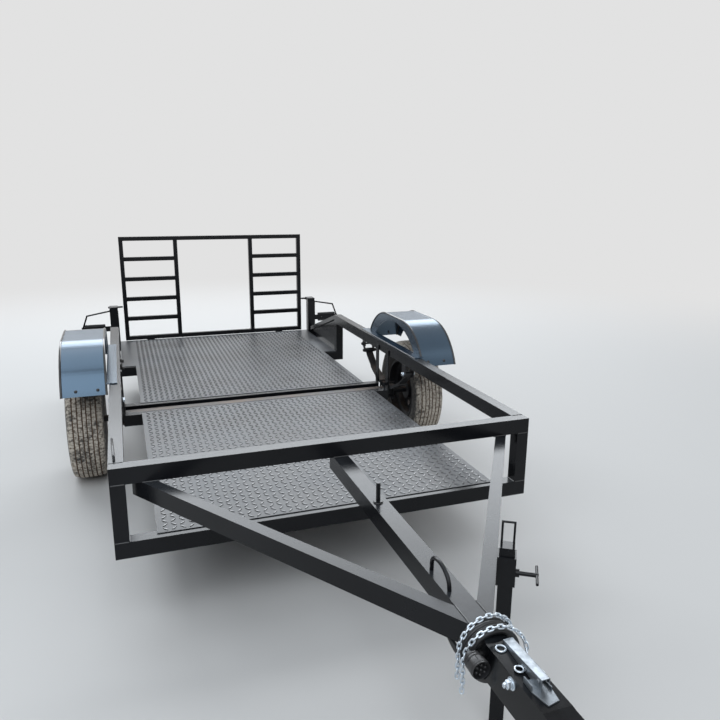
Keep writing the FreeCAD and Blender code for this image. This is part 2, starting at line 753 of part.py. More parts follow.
def lamp_brackets():
    """Arms that carry the rear lamps outside the rear posts, with a bent guard rod each."""
    start = rail_inner + rear_post_size
    y1 = bed_length - lamp_arm_inset
    y0 = y1 - lamp_arm_depth
    low = lamp_arm_height - lamp_arm_tall / 2
    arm = block(start, lamp_arm_reach, y0, y1, low, low + lamp_arm_tall)
    rod_y = y0 - guard_radius + guard_sink
    top_z = rear_post_height - lamp_arm_inset
    points = [(start, rod_y, top_z), (lamp_arm_reach - guard_shoulder, rod_y, top_z - guard_drop)]
    points += [(lamp_arm_reach - guard_foot, rod_y, low + lamp_arm_tall - guard_lap)]
    guard = rod(points, guard_radius).common(block(start, lamp_arm_reach, 0, bed_length, 0, hoop_height))
    both_sides("lamp_bracket", arm.fuse(guard))
    x0 = lamp_arm_reach - lamp_width - lamp_margin
    half = lamp_tall / 2
    lamp = block(x0, x0 + lamp_width, y1, y1 + lamp_depth, lamp_arm_height - half, lamp_arm_height + half)
    both_sides("rear_lamp", lamp)


def latches():
    """Sliding bolt latches on the rear posts, beside the gate."""
    low = rear_post_height
    y = gate_face + gate_tube / 2
    tip = gate_width / 2 + latch_air
    outer = rail_inner + rear_post_size
    body = block(rail_inner, outer, bed_length - rail_width, y + latch_block / 2, low, low + latch_block)
    bolt = across(latch_bolt_radius, tip, outer + latch_bolt_head, y, low + latch_block / 2)
    both_sides("gate_latch", body.fuse(bolt).removeSplitter())


def drawbar_fittings():
    """The upright stud and the bowed tie loop on top of the centre bar."""
    top = hoop_height - rail_height
    foot = V(stud_side, stud_station, top)
    stud = Part.makeCylinder(stud_radius, stud_height, foot)
    collar = Part.makeCylinder(stud_collar_radius, stud_collar_height, foot)
    save("centre_stud", stud.fuse(collar).removeSplitter())
    start = tie_loop_start
    end = start - tie_loop_length
    x = tie_loop_side
    root = top - 2 * tie_rod_radius
    points = [(x, start, root)]
    for share, rise in tie_loop_bends:
        points.append((x, start - tie_loop_length * share, top + tie_loop_height * rise))
    points.append((x, end, root))
    under = block(x - bar_width, x + bar_width, end - bar_width, start + bar_width, root - bar_width, top)
    save("tie_loop", bent_tube("tie loop", points, tie_rod_radius).cut(under))


def bent_tube(name, points, radius):
    """A round bar or lead of straight runs joined by tangent arcs; prints its bend radii."""
    corners = [V(*point) for point in points]
    runs = [(end - start).Length for start, end in zip(corners, corners[1:])]
    edges = []
    start = corners[0]
    for step in range(1, len(corners) - 1):
        corner = corners[step]
        back = (corners[step - 1] - corner).normalize()
        ahead = (corners[step + 1] - corner).normalize()
        half_angle = back.getAngle(ahead) / 2
        reach = 0.45 * min(runs[step - 1], runs[step])
        bend = reach * math.tan(half_angle)
        centre = corner + (back + ahead).normalize() * (bend / math.sin(half_angle))
        middle = centre + (corner - centre).normalize() * bend
        first = corner + back * reach
        last = corner + ahead * reach
        edges.append(Part.makeLine(start, first))
        edges.append(Part.Arc(first, middle, last).toShape())
        start = last
        print(name, "bend radius", round(bend, 1))
    edges.append(Part.makeLine(start, corners[-1]))
    circle = Part.Wire(Part.makeCircle(radius, corners[0], corners[1] - corners[0]))
    return Part.Wire(edges).makePipeShell([circle], True, False)


def coil_centre():
    """The height of the coil's axis: its turns hang on the centre bar's upper corners."""
    half = centre_bar_width / 2
    return hoop_height - rail_height + seat_gap - math.sqrt(coil_inner_radius ** 2 - half ** 2)


def lead():
    """The lighting lead: a tube out of the left drawbar's underside, the coil on the neck and the plug."""
    centre_z = coil_centre()
    length = 2 * lead_radius * coil_turns
    outer = coil_inner_radius + 2 * lead_radius
    middle = coil_inner_radius + lead_radius
    start = V(0, coil_front_station, centre_z)
    end = coil_front_station + length
    ring = Part.makeCylinder(outer, length, start, V(0, 1, 0))
    hole = Part.makeCylinder(coil_inner_radius, length, start, V(0, 1, 0))
    save("lead_coil", ring.cut(hole))
    bar_low = hoop_height - rail_height - bar_height
    low = bar_low - lead_exit_drop
    x = -math.sqrt(middle ** 2 - (centre_z - low) ** 2)
    inside = 0.5
    bar_reach = 2 * bar_width
    points = [(x, lead_exit_station + lead_exit_run * inside, bar_low + lead_exit_drop * inside)]
    points += [(x, lead_exit_station - lead_exit_run, low), (x, end, low)]
    bar_space = block(x - bar_reach, x + bar_reach, end, hoop_depth, bar_low, hoop_height)
    save("lead_tube", bent_tube("lead", points, lead_radius).cut(bar_space))
    print("lead from", round(x, 1), lead_exit_station, bar_low, "to", end, round(low, 1), round(centre_z, 2))
    back = V(plug_side, coil_front_station - seat_gap, centre_z + plug_rise)
    plug = Part.makeCylinder(plug_radius, plug_length, back, V(0, -1, 0))
    save("lead_plug", plug)


def chain_link():
    """One link as a flat loop along X in the XY plane, with its corners cut."""
    rings = []
    for inset in (0, link_wire):
        x = link_pitch / 2 + link_wire - inset
        y = link_width / 2 - inset
        corner = y * link_corner
        points = [(x, y - corner), (x - corner, y), (corner - x, y), (-x, y - corner)]
        points += [(-px, -py) for px, py in points]
        corners = [V(px, py, -link_wire / 2) for px, py in points]
        rings.append(Part.Face(Part.makePolygon(corners + corners[:1])).extrude(V(0, 0, link_wire)))
    return rings[0].cut(rings[1])


def chain(first_points, first_angle, stations, drop):
    """Links along a route: from its fixing to the coil's right side, over the coil and down on the left.

    Each link is turned a quarter from the one before, without twist from the free end to the fixing.
    """
    centre_z = coil_centre()
    radius = coil_inner_radius + 2 * lead_radius + chain_lift
    start_y, end_y = stations
    points = list(first_points)
    for angle in range(first_angle, 180, chain_arc_step):
        turn = math.radians(angle)
        y = start_y + (end_y - start_y) * (angle - first_angle) / (180 - first_angle)
        points.append(V(radius * math.cos(turn), y, centre_z + radius * math.sin(turn)))
    for part in (0, 0.5, 1):
        points.append(V(-radius, end_y, centre_z - drop * part))
    curve = Part.BSplineCurve()
    curve.interpolate(points)
    route = curve.toShape()
    link = chain_link()
    count = math.ceil(route.Length / (link_pitch - link_clearance)) + 1
    spots = route.discretize(count)[::-1]
    out = V(-1, 0, 0)
    links = []
    for step, spot in enumerate(spots):
        before = spots[max(step - 1, 0)]
        after = spots[min(step + 1, count - 1)]
        along = (after - before).normalize()
        out = (out - along * out.dot(along)).normalize()
        side = along.cross(out)
        lean = out + side if step % 2 else out - side
        normal = lean.normalize()
        cross = normal.cross(along)
        matrix = FreeCAD.Matrix(along.x, cross.x, normal.x, spot.x, along.y, cross.y, normal.y, spot.y,
                                along.z, cross.z, normal.z, spot.z, 0, 0, 0, 1)
        piece = link.copy()
        piece.Placement = FreeCAD.Placement(matrix)
        links.append(piece)
    print("chain of", count, "links, pitch", round(route.Length / (count - 1), 2))
    return links


def safety_chains():
    """Two chains over the coil: one bolted to the coupler, one to the right drawbar."""
    half = coupler_width / 2
    length = 2 * lead_radius * coil_turns
    radius = coil_inner_radius + 2 * lead_radius + chain_lift
    gap = link_width / 2 + link_wire
    z = chain_bolt_height
    level = coil_centre()
    front = coil_front_station + length * 0.27
    back = coil_front_station + length * 0.82
    lean = math.radians(chain_lean_angle)
    rise = radius * math.sin(lean)
    start = V(half + gap, chain_bolt_station, z)
    end = V(radius * math.cos(lean), coil_front_station + link_wire, level + rise)
    points = [start, start + (end - start) * 0.33 + V(link_wire, 0, 0), start + (end - start) * 0.67 + V(gap, 0, 0)]
    links = chain(points, chain_lean_angle, (end.y, front), front_chain_hang)
    save("safety_chain_front", Part.makeCompound(links))
    side = drawbar_point(back + chain_anchor_run, link_width / 2 + link_wire)
    start = V(side[0], side[1], z)
    points = [start]
    for share, height in ((0.35, 0.0), (0.68, 0.25)):
        points.append(V(start.x + (radius - start.x) * share + link_wire, start.y + (back - start.y) * share,
                        z + (level - z) * height))
    links = chain(points, chain_arc_step, (back, back - link_width), back_chain_hang)
    save("safety_chain_back", Part.makeCompound(links))


def drawbar_point(station, offset):
    """A point beside the right drawbar's outer face, a given way from it."""
    angle = math.atan2(bar_spread, -bar_tip_station)
    along = bar_spread * (station - bar_tip_station) / -bar_tip_station
    reach = bar_width / 2 + offset
    return along + math.cos(angle) * reach, station - math.sin(angle) * reach


hoop()
side_rails()
floor_frame()
floor()
axle()
leaf_spring()
hangers()
spring_clamp()
wheels()
fenders()
drawbar()
coupler()
leg()
gate()
lamp_brackets()
latches()
drawbar_fittings()
lead()
safety_chains()
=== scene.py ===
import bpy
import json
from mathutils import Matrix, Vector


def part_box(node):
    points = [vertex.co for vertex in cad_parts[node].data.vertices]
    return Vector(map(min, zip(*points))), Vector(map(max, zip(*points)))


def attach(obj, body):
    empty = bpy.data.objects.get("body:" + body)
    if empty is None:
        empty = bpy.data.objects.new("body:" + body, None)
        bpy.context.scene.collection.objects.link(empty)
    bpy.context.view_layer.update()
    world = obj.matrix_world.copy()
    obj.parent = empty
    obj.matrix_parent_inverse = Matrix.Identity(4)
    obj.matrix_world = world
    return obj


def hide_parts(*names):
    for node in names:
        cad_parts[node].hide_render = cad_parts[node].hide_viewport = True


bl_info = {
    "name": "Utility Trailer",
    "version": (1, 0, 0),
    "blender": (4, 5, 0),
    "location": "View3D > Sidebar > Trailer",
    "description": "Dresses the frame of a single axle utility trailer with its finishes and small parts",
    "category": "Object",
}

import bmesh
import bpy
import json
import math
import random
from bpy.props import FloatProperty, FloatVectorProperty, IntProperty, PointerProperty
from mathutils import Matrix, Vector

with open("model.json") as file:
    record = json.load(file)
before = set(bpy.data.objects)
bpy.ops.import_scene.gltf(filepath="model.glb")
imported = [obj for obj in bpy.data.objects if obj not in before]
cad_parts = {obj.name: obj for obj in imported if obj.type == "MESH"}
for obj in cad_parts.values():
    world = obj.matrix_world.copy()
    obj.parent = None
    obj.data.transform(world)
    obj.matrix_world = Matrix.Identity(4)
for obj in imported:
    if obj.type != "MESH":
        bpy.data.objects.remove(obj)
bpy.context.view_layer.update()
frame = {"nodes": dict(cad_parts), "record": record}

# In metres: X to the right seen from the drawbar, Y to the gate, Z up
SIDES = (("left", -1), ("right", 1))
TO_LEFT, TO_RIGHT = Vector((-1, 0, 0)), Vector((1, 0, 0))
TO_FRONT, TO_GATE = Vector((0, -1, 0)), Vector((0, 1, 0))

# Materials by name; the finishes operator makes them before any piece
finishes = {}


def on_circle(radius, angle):
    """The two coordinates of a point on a circle round zero."""
    return radius * math.cos(angle), radius * math.sin(angle)


def around(count, radius=1.0, start=0.0):
    """The coordinates of points at equal steps round a circle."""
    return [on_circle(radius, 2 * math.pi * step / count + start) for step in range(count)]


def ring(bm, centre, first, second, radius, sides):
    """A closed loop of corners round a centre, in the plane of two directions."""
    return [bm.verts.new(centre + (first * a + second * b) * radius) for a, b in around(sides)]


def bridge(bm, first, second):
    """Faces between two loops with the same number of corners."""
    for corners in zip(first, first[1:] + first[:1], second[1:] + second[:1], second):
        bm.faces.new(corners)


def skin(bm, loops, closed=False):
    """Faces from each loop to the next, then over both ends or from the last to the first."""
    for first, second in zip(loops, loops[1:]):
        bridge(bm, first, second)
    if closed:
        bridge(bm, loops[-1], loops[0])
    else:
        bm.faces.new(loops[0][::-1])
        bm.faces.new(loops[-1])


def turned(bm, profile, origin, direction, sides=24):
    """A turned solid: (distance along the axis, radius) pairs, closed at both ends."""
    axis = Vector(direction).normalized()
    first, second, _ = axis.to_track_quat("Z", "Y").to_matrix().col
    origin = Vector(origin)
    skin(bm, [ring(bm, origin + axis * along, first, second, radius, sides)
              for along, radius in profile])


def tube_along(bm, points, radius, sides=8, closed=False):
    """A round bar that follows points; radius may be one number or one for each point."""
    points = [Vector(point) for point in points]
    count = len(points)
    radii = radius if hasattr(radius, "__len__") else [radius] * count
    loops = []
    normal = None
    for step, point in enumerate(points):
        before = points[step - 1] if step or closed else point
        after = points[(step + 1) % count] if step < count - 1 or closed else point
        along = (after - before).normalized()
        if normal is None:
            normal = along.orthogonal().normalized()
        normal = (normal - along * normal.dot(along)).normalized()
        loops.append(ring(bm, point, normal, along.cross(normal), radii[step], sides))
    skin(bm, loops, closed)


def soft_block(bm, low, high, edge):
    """A block with rounded edges."""
    low, high = Vector(low), Vector(high)
    made = bmesh.ops.create_cube(bm, size=1.0)
    for corner in made["verts"]:
        corner.co = (low + high) / 2 + corner.co * (high - low)
    edges = list({side for corner in made["verts"] for side in corner.link_edges})
    bmesh.ops.bevel(bm, geom=edges, offset=edge, segments=2, affect="EDGES")


def bolt(bm, seat, direction, across_flats, height, washer=0.0):
    """A hexagon head with a chamfer, on a washer of a radius when it has one."""
    radius = across_flats / math.sqrt(3)
    base = 0.002 if washer else 0
    if washer:
        turned(bm, [(0, washer * 0.97), (base * 0.2, washer), (base * 0.8, washer),
                    (base, washer * 0.96)], seat, direction, 20)
    turned(bm, [(base, radius), (base + height * 0.8, radius), (base + height, radius * 0.86)],
           seat, direction, 6)


def weld(bm, start, end, size=0.0028, step=0.0035):
    """A weld bead: a bar whose thickness ripples along its run."""
    start, end = Vector(start), Vector(end)
    count = max(3, int((end - start).length / step) * 2)
    points = [start.lerp(end, index / (count - 1)) for index in range(count)]
    radii = [size * (1 if index % 2 else 0.78) for index in range(count)]
    tube_along(bm, points, radii, 6)


def placed(name, data):
    """A new object in the scene."""
    made = bpy.data.objects.new(name, data)
    bpy.context.scene.collection.objects.link(made)
    return made


def finish_piece(name, bm, slot, finish=None, crease=30.0, stands_for=(), body="chassis"):
    """Makes a piece of a mesh, smooths it up to a crease angle, and hangs it on its body."""
    bmesh.ops.recalc_face_normals(bm, faces=bm.faces)
    mesh = bpy.data.meshes.new(name)
    bm.to_mesh(mesh)
    bm.free()
    mesh.materials.append(finishes[finish or slot])
    for face in mesh.polygons:
        face.use_smooth = True
    mesh.set_sharp_from_angle(angle=math.radians(crease))
    made = placed(name, mesh)
    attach(made, body)
    if stands_for:
        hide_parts(*stands_for)
    return made


def node(tree, kind, inputs=None, **settings):
    """A shader node with its settings, and its inputs set or linked."""
    made = tree.nodes.new(kind)
    for key, value in settings.items():
        setattr(made, key, value)
    for key, value in (inputs or {}).items():
        if isinstance(value, bpy.types.NodeSocket):
            tree.links.new(value, made.inputs[key])
        else:
            made.inputs[key].default_value = value
    return made


def sum_of(tree, operation, first, second=0.0, clamp=False):
    """One sum on two values."""
    made = node(tree, "ShaderNodeMath", {0: first, 1: second}, operation=operation)
    made.use_clamp = clamp
    return made.outputs[0]


def plus(tree, first, second, clamp=False):
    """Two values added."""
    return sum_of(tree, "ADD", first, second, clamp)


def minus(tree, first, second, clamp=False):
    """The second value taken from the first."""
    return sum_of(tree, "SUBTRACT", first, second, clamp)


def times(tree, first, second, clamp=False):
    """Two values multiplied."""
    return sum_of(tree, "MULTIPLY", first, second, clamp)


def mask(tree, value, low, high, top=1.0):
    """A value that rises smoothly from 0 to its top between two limits."""
    limits = {"Value": value, "From Min": low, "From Max": high, "To Max": top}
    made = node(tree, "ShaderNodeMapRange", limits, interpolation_type="SMOOTHSTEP")
    return made.outputs["Result"]


def noise(tree, place, scale, detail=4.0, rough=0.55):
    """A cloud of values about a half."""
    inputs = {"Vector": place, "Scale": scale, "Detail": detail, "Roughness": rough}
    return node(tree, "ShaderNodeTexNoise", inputs).outputs["Fac"]


def mixed(tree, place, fine_noise, fine_share, broad_noise):
    """A fine cloud and a broad one, and both in one."""
    fine = noise(tree, place, *fine_noise)
    broad = noise(tree, place, *broad_noise)
    both = plus(tree, times(tree, fine, fine_share), times(tree, broad, 1 - fine_share))
    return fine, broad, both


def blend_colour(tree, share, *colours):
    """A colour between two colours."""
    first, second = (colour if isinstance(colour, bpy.types.NodeSocket) else (*colour, 1)
                     for colour in colours)
    made = node(tree, "ShaderNodeMix", {0: share, 6: first, 7: second}, data_type="RGBA")
    return made.outputs[2]


def shade(colour, factor):
    """A colour made lighter or darker."""
    return [channel * factor for channel in colour]


def new_material(name):
    """The nodes, shader and texture coordinates of a new finish."""
    material = bpy.data.materials.new(name)
    material.use_nodes = True
    finishes[name] = material
    tree = material.node_tree
    tree.nodes.clear()
    shader = node(tree, "ShaderNodeBsdfPrincipled")
    node(tree, "ShaderNodeOutputMaterial", {0: shader.outputs[0]})
    return tree, shader, node(tree, "ShaderNodeTexCoord").outputs


def set_surface(tree, shader, tone, rough):
    """The colour and roughness of a shader, from nodes."""
    tree.links.new(tone, shader.inputs["Base Color"])
    tree.links.new(rough, shader.inputs["Roughness"])


def set_bump(tree, shader, height, strength, distance):
    """A fine relief on the shader's normal."""
    inputs = {"Height": height, "Strength": strength, "Distance": distance}
    made = node(tree, "ShaderNodeBump", inputs)
    tree.links.new(made.outputs[0], shader.inputs["Normal"])


def painted(name, colour, dust_and_sheen, rough, dust_and_sheen_share, shine, coat=0.0, rust=0.0, relief=0.1):
    """Paint on steel: slight changes of tone, dust and a painted sky sheen on upward faces, and specks of
    rust.
    """
    tree, shader, coords = new_material(name)
    place = coords["Object"]
    up = node(tree, "ShaderNodeSeparateXYZ", {0: coords["Normal"]}).outputs[2]
    fine, broad, both = mixed(tree, place, (46, 6, 0.65), 0.25, (3.5, 5))
    # Upward faces lighten in clouds towards the dust colour: partly real dust, partly a painted sky sheen
    # in place of the gloss tops' reflection
    share = times(tree, mask(tree, up, 0.25, 0.95), mask(tree, both, 0.36, 0.66))
    share = plus(tree, share, mask(tree, broad, 0.5, 0.85, 0.1), True)
    share = times(tree, share, dust_and_sheen_share, True)
    tone = blend_colour(tree, mask(tree, broad, 0.3, 0.7), shade(colour, 0.8), shade(colour, 1.25))
    tone = blend_colour(tree, share, tone, dust_and_sheen)
    if rust:
        specks = mask(tree, noise(tree, place, 90, 3, 0.7), 0.7, 0.76, rust)
        tone = blend_colour(tree, specks, tone, (0.105, 0.042, 0.018))
    wear = plus(tree, times(tree, share, 0.14), times(tree, fine, 0.04))
    set_surface(tree, shader, tone, plus(tree, wear, rough, True))
    shader.inputs["Specular IOR Level"].default_value = shine
    shader.inputs["Coat Weight"].default_value = coat
    shader.inputs["Coat Roughness"].default_value = 0.06
    set_bump(tree, shader, noise(tree, place, 420, 2), relief, 0.0006)
    return shader


def clouded(name, first, second, cloud, limits, rough, grain=None):
    """A finish that goes from one colour to another in clouds, with a fine grain."""
    tree, shader, coords = new_material(name)
    cloud = noise(tree, coords["Object"], *cloud)
    share, least = rough
    tone = blend_colour(tree, mask(tree, cloud, *limits), first, second)
    set_surface(tree, shader, tone, plus(tree, times(tree, cloud, share), least))
    if grain:
        scale, strength, distance = grain
        set_bump(tree, shader, noise(tree, coords["Object"], scale, 3), strength, distance)
    return shader


def plated(name, colour, rough, tarnish):
    """Zinc plate with cloudy tarnish."""
    shader = clouded(name, colour, tarnish, (60, 5, 0.6), (0.35, 0.7), (0.25, rough),
                     (700, 0.15, 0.0003))
    shader.inputs["Metallic"].default_value = 0.9


def rubber(name, colour, rough, grain_scale):
    """Moulded rubber or plastic."""
    worn = [channel * 1.9 + 0.006 for channel in colour]
    clouded(name, colour, worn, (30, 5), (0.3, 0.75), (0.2, rough), (grain_scale, 0.2, 0.0004))


def lens(name, colour):
    """A moulded lamp lens with a little dirt."""
    shader = clouded(name, colour, (0.16, 0.12, 0.09), (40, 4), (0.4, 0.8, 0.4), (0.3, 0))
    shader.inputs["Coat Weight"].default_value = 0.6


# Wheels: the axle's place, the middle of a tyre, and its tread, whose crown drops by the square
# and the fourth power of the share of its half width
AXLE_Y = 0.5255
AXLE_Z = 0.3
WHEEL_X = 0.932
TREAD_RADIUS = 0.2995
TREAD_HALF = 0.079
SQUARE_DROP = 0.0015
FOURTH_DROP = 0.0115


def muddy_rubber(name, colour, mud, dry_mud):
    """Tyre rubber: dry mud on the tread, damp mud in its grooves, dust on the side walls."""
    tree, shader, coords = new_material(name)
    x, y, z = node(tree, "ShaderNodeSeparateXYZ", {0: coords["Object"]}).outputs
    dy, dz = minus(tree, y, AXLE_Y), minus(tree, z, AXLE_Z)
    radius = sum_of(tree, "SQRT", plus(tree, times(tree, dy, dy), times(tree, dz, dz)))
    fine, _, grit = mixed(tree, coords["Object"], (70, 8, 0.7), 0.55, (11, 4))
    off = minus(tree, sum_of(tree, "ABSOLUTE", x), WHEEL_X)
    off = sum_of(tree, "DIVIDE", off, TREAD_HALF)
    square = times(tree, off, off)
    drop = plus(tree, times(tree, times(tree, square, square), FOURTH_DROP),
                times(tree, square, SQUARE_DROP))
    below = minus(tree, minus(tree, TREAD_RADIUS, drop), radius)
    in_groove = times(tree, mask(tree, below, 0.0012, 0.0045), mask(tree, square, 1.02, 0.98))
    on_tread = mask(tree, radius, 0.262, 0.287)
    caked = times(tree, mask(tree, grit, 0.36, 0.54), on_tread)
    packed = times(tree, in_groove, times(tree, on_tread, mask(tree, grit, 0.3, 0.45)))
    caked = sum_of(tree, "MAXIMUM", caked, packed)
    share = sum_of(tree, "MAXIMUM", caked, mask(tree, grit, 0.44, 0.68, 0.55))
    dry = times(tree, mask(tree, fine, 0.3, 0.55), minus(tree, 1, in_groove, True))
    tone = blend_colour(tree, share, colour, blend_colour(tree, dry, mud, dry_mud))
    set_surface(tree, shader, tone, plus(tree, times(tree, share, 0.25), 0.62))
    height = plus(tree, times(tree, share, 0.6), times(tree, fine, 0.4))
    set_bump(tree, shader, height, 0.6, 0.0015)


def make_finishes():
    """Every finish of the trailer, named after the record's slots where one fits."""
    paint, floor, dust_and_sheen, mud, dry_mud, zinc = (
        tuple(getattr(looks(), key + "_colour"))
        for key in ("paint", "floor", "dust_and_sheen", "mud", "dry_mud", "zinc"))
    black = shade(paint, 0.6)
    # The dust colour on each paint's upward faces is partly dust, partly a painted sky sheen
    painted("frame_paint", paint, dust_and_sheen, 0.2, 0.22, 0.21, coat=0.02, rust=0.3, relief=0.02)
    painted("floor_plate", floor, dust_and_sheen, 0.34, 0.5, 0.38, rust=0.5)
    painted("floor_lugs", floor, dust_and_sheen, 0.19, 0.2, 0.7, coat=0.3, rust=0.2)
    # The fender's blue-black tone and blue specular tint are a painted sky reflection on black paint
    fender = painted("fender_paint", (0.012, 0.022, 0.036), dust_and_sheen, 0.2, 0.02, 1, relief=0.0)
    fender.inputs["Specular Tint"].default_value = (0.52, 0.75, 1, 1)
    fender.inputs["IOR"].default_value = 1.62
    painted("edge_paint", black, dust_and_sheen, 0.1, 0.02, 0.5, coat=0.2, relief=0.0)
    painted("axle_steel", shade(paint, 1.6), mud, 0.45, 0.8, 0.4, rust=0.8)
    painted("rim_paint", shade(paint, 1.3), mud, 0.4, 0.9, 0.4, rust=0.8)
    painted("coupler_paint", black, dust_and_sheen, 0.14, 0.1, 0.16, rust=0.1, relief=0.04)
    painted("weld_bead", paint, dust_and_sheen, 0.26, 0.3, 0.6, coat=0.3, rust=0.7, relief=0.25)
    muddy_rubber("tyre", (0.045, 0.044, 0.042), mud, dry_mud)
    plated("zinc", zinc, 0.22, shade(zinc, 0.84))
    plated("lever_zinc", shade(zinc, 0.4), 0.26, shade(zinc, 0.3))
    rubber("cable_rubber", (0.012, 0.012, 0.013), 0.35, 500)
    rubber("plug_plastic", (0.009, 0.009, 0.01), 0.28, 300)
    lens("lamp_lens", (0.28, 0.012, 0.01))
    lens("lamp_amber", (0.5, 0.16, 0.015))


COLOUR = {"subtype": "COLOR", "size": 3, "min": 0, "max": 1}


class TrailerLooks(bpy.types.PropertyGroup):
    paint_colour: FloatVectorProperty(
        name="Paint", description="Paint of the frame",
        default=(0.0065, 0.007, 0.0085), **COLOUR)
    floor_colour: FloatVectorProperty(
        name="Floor", description="Paint of the tread plates",
        default=(0.026, 0.027, 0.03), **COLOUR)
    # Pale blue-grey laid on upward faces: partly dust, partly a painted sky sheen
    dust_and_sheen_colour: FloatVectorProperty(
        name="Dust", description="Dust that lies on upward faces",
        default=(0.105, 0.115, 0.125), **COLOUR)
    mud_colour: FloatVectorProperty(
        name="Mud", description="Damp mud on the tyres and axle",
        default=(0.135, 0.088, 0.058), **COLOUR)
    dry_mud_colour: FloatVectorProperty(
        name="Dry mud", description="Dry mud on the tyres",
        default=(0.52, 0.47, 0.4), **COLOUR)
    zinc_colour: FloatVectorProperty(
        name="Zinc", description="Plated chain, lever and latch",
        default=(0.66, 0.73, 0.8), **COLOUR)
    lug_pitch: FloatProperty(
        name="Lug pitch", description="Distance between the lugs of the tread plates",
        default=0.03, min=0.02, max=0.08, unit="LENGTH")
    lug_length: FloatProperty(
        name="Lug length", description="Length of one lug", default=0.027, min=0.01, max=0.06,
        unit="LENGTH")
    lug_height: FloatProperty(
        name="Lug height", description="Height of the lugs",
        default=0.0026, min=0.0005, max=0.004, unit="LENGTH")
    tread_depth: FloatProperty(
        name="Tread depth", description="Depth of the tyre grooves",
        default=0.0055, min=0.001, max=0.012, unit="LENGTH")
    tread_blocks: IntProperty(
        name="Tread blocks", description="Blocks round each tyre", default=94, min=30, max=110)
    link_pitch: FloatProperty(
        name="Link pitch", description="Distance between the links of the chains",
        default=0.0125, min=0.01, max=0.02, unit="LENGTH")
    lead_diameter: FloatProperty(
        name="Lead diameter", description="Thickness of the lighting lead",
        default=0.0138, min=0.006, max=0.02, unit="LENGTH")


def looks():
    """The trailer's sizes and colours."""
    return bpy.context.scene.trailer_looks


class TRAILER_OT_finishes(bpy.types.Operator):
    """Give every frame node its finish, and round the edges of the welded parts"""
    bl_idname = "trailer.finishes"
    bl_label = "Finishes"

    def execute(self, context):
        make_finishes()
        slots = {part["node"]: part["material_slot"] for part in frame["record"]["subparts"]}
        unrounded = ("tyre", "lead", "safety_chain", "rim", "hub", "leaf", "fender")
        for name, carried in frame["nodes"].items():
            carried.data.materials.clear()
            carried.data.materials.append(finishes[slots[name]])
            for face in carried.data.polygons:
                face.use_smooth = False
            if name.startswith(unrounded):
                continue
            large = max(carried.dimensions) > 0.5 or name == "coupler_body"
            rounding = carried.modifiers.new("rounded_edges", "BEVEL")
            rounding.width = 0.0028 if large else 0.0009
            rounding.segments = 2
            rounding.limit_method = "ANGLE"
            rounding.angle_limit = math.radians(40)
            rounding.harden_normals = True
        return {"FINISHED"}


# The outline of a lug, as shares of its half length and half width
LUG_OUTLINE = ((-1, 0), (-0.62, 0.8), (0, 1), (0.62, 0.8),
               (1, 0), (0.62, -0.8), (0, -1), (-0.62, -0.8))


def lug(bm, centre, turn, length, height):
    """One raised lug of a tread plate: a pointed oval with sloping sides and a narrow top."""
    along = Vector((*on_circle(length / 2, turn), 0))
    across = Vector((-along.y, along.x, 0)) * 0.26
    base = [bm.verts.new(centre + along * a + across * b) for a, b in LUG_OUTLINE]
    rise = Vector((0, 0, height))
    top = [bm.verts.new(centre + along * (a * 0.8) + across * (b * 0.5) + rise)
           for a, b in LUG_OUTLINE]
    bridge(bm, base, top)
    bm.faces.new(top)


class TRAILER_OT_tread_plates(bpy.types.Operator):
    """Raise the lugs of the two tread plates"""
    bl_idname = "trailer.tread_plates"
    bl_label = "Tread plates"

    def execute(self, context):
        pitch = looks().lug_pitch
        margin = 0.01
        for name in ("front_floor", "rear_floor"):
            low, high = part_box(name)
            bm = bmesh.new()
            columns = int((high.x - low.x - margin) / pitch)
            rows = int((high.y - low.y - margin) / pitch)
            start_x = (low.x + high.x - (columns - 1) * pitch) / 2
            start_y = (low.y + high.y - (rows - 1) * pitch) / 2
            for row in range(rows):
                for column in range(columns):
                    turn = math.radians(45 if (row + column) % 2 else -45)
                    centre = Vector((start_x + column * pitch, start_y + row * pitch, high.z))
                    lug(bm, centre, turn, looks().lug_length, looks().lug_height)
            finish_piece(name + "_lugs", bm, "floor_plate", "floor_lugs", 35)
        return {"FINISHED"}


# Side wall of a tyre from its bead to its shoulder: (place across the tyre, radius)
SIDE_WALL = ((-0.063, 0.179), (-0.064, 0.185), (-0.067, 0.1905), (-0.0705, 0.193),
             (-0.0745, 0.199), (-0.079, 0.208), (-0.0835, 0.219), (-0.0865, 0.232),
             (-0.0878, 0.245), (-0.0873, 0.257), (-0.0862, 0.259), (-0.0862, 0.266),
             (-0.085, 0.268), (-0.0828, 0.278))
# Ribs of the tread, from one edge to the other
RIBS = ((-TREAD_HALF, -0.0575), (-0.0525, -0.0345), (-0.03, -0.012), (-0.0075, 0.0075),
        (0.012, 0.03), (0.0345, 0.0525), (0.0575, TREAD_HALF))
# Where the rings of corners lie within one block, and which of them even and odd ribs cut into
BLOCK_SHARES = (0, 0.025, 0.13, 0.155, 0.5, 0.525, 0.6, 0.625)
RIB_CUTS = ((1, 2), (5, 6))
SHOULDER_CUTS = (1, 2, 3, 4)
# Least radius of the cuts in ribs, where the shoulder's notches begin, and their depth
RIB_RADIUS, SHOULDER_X, SHOULDER_RADIUS = 0.284, 0.082, 0.265
NOTCH = 0.0012
# How far the blocks lean back at the tread's edges, in blocks
LEAN = 0.25


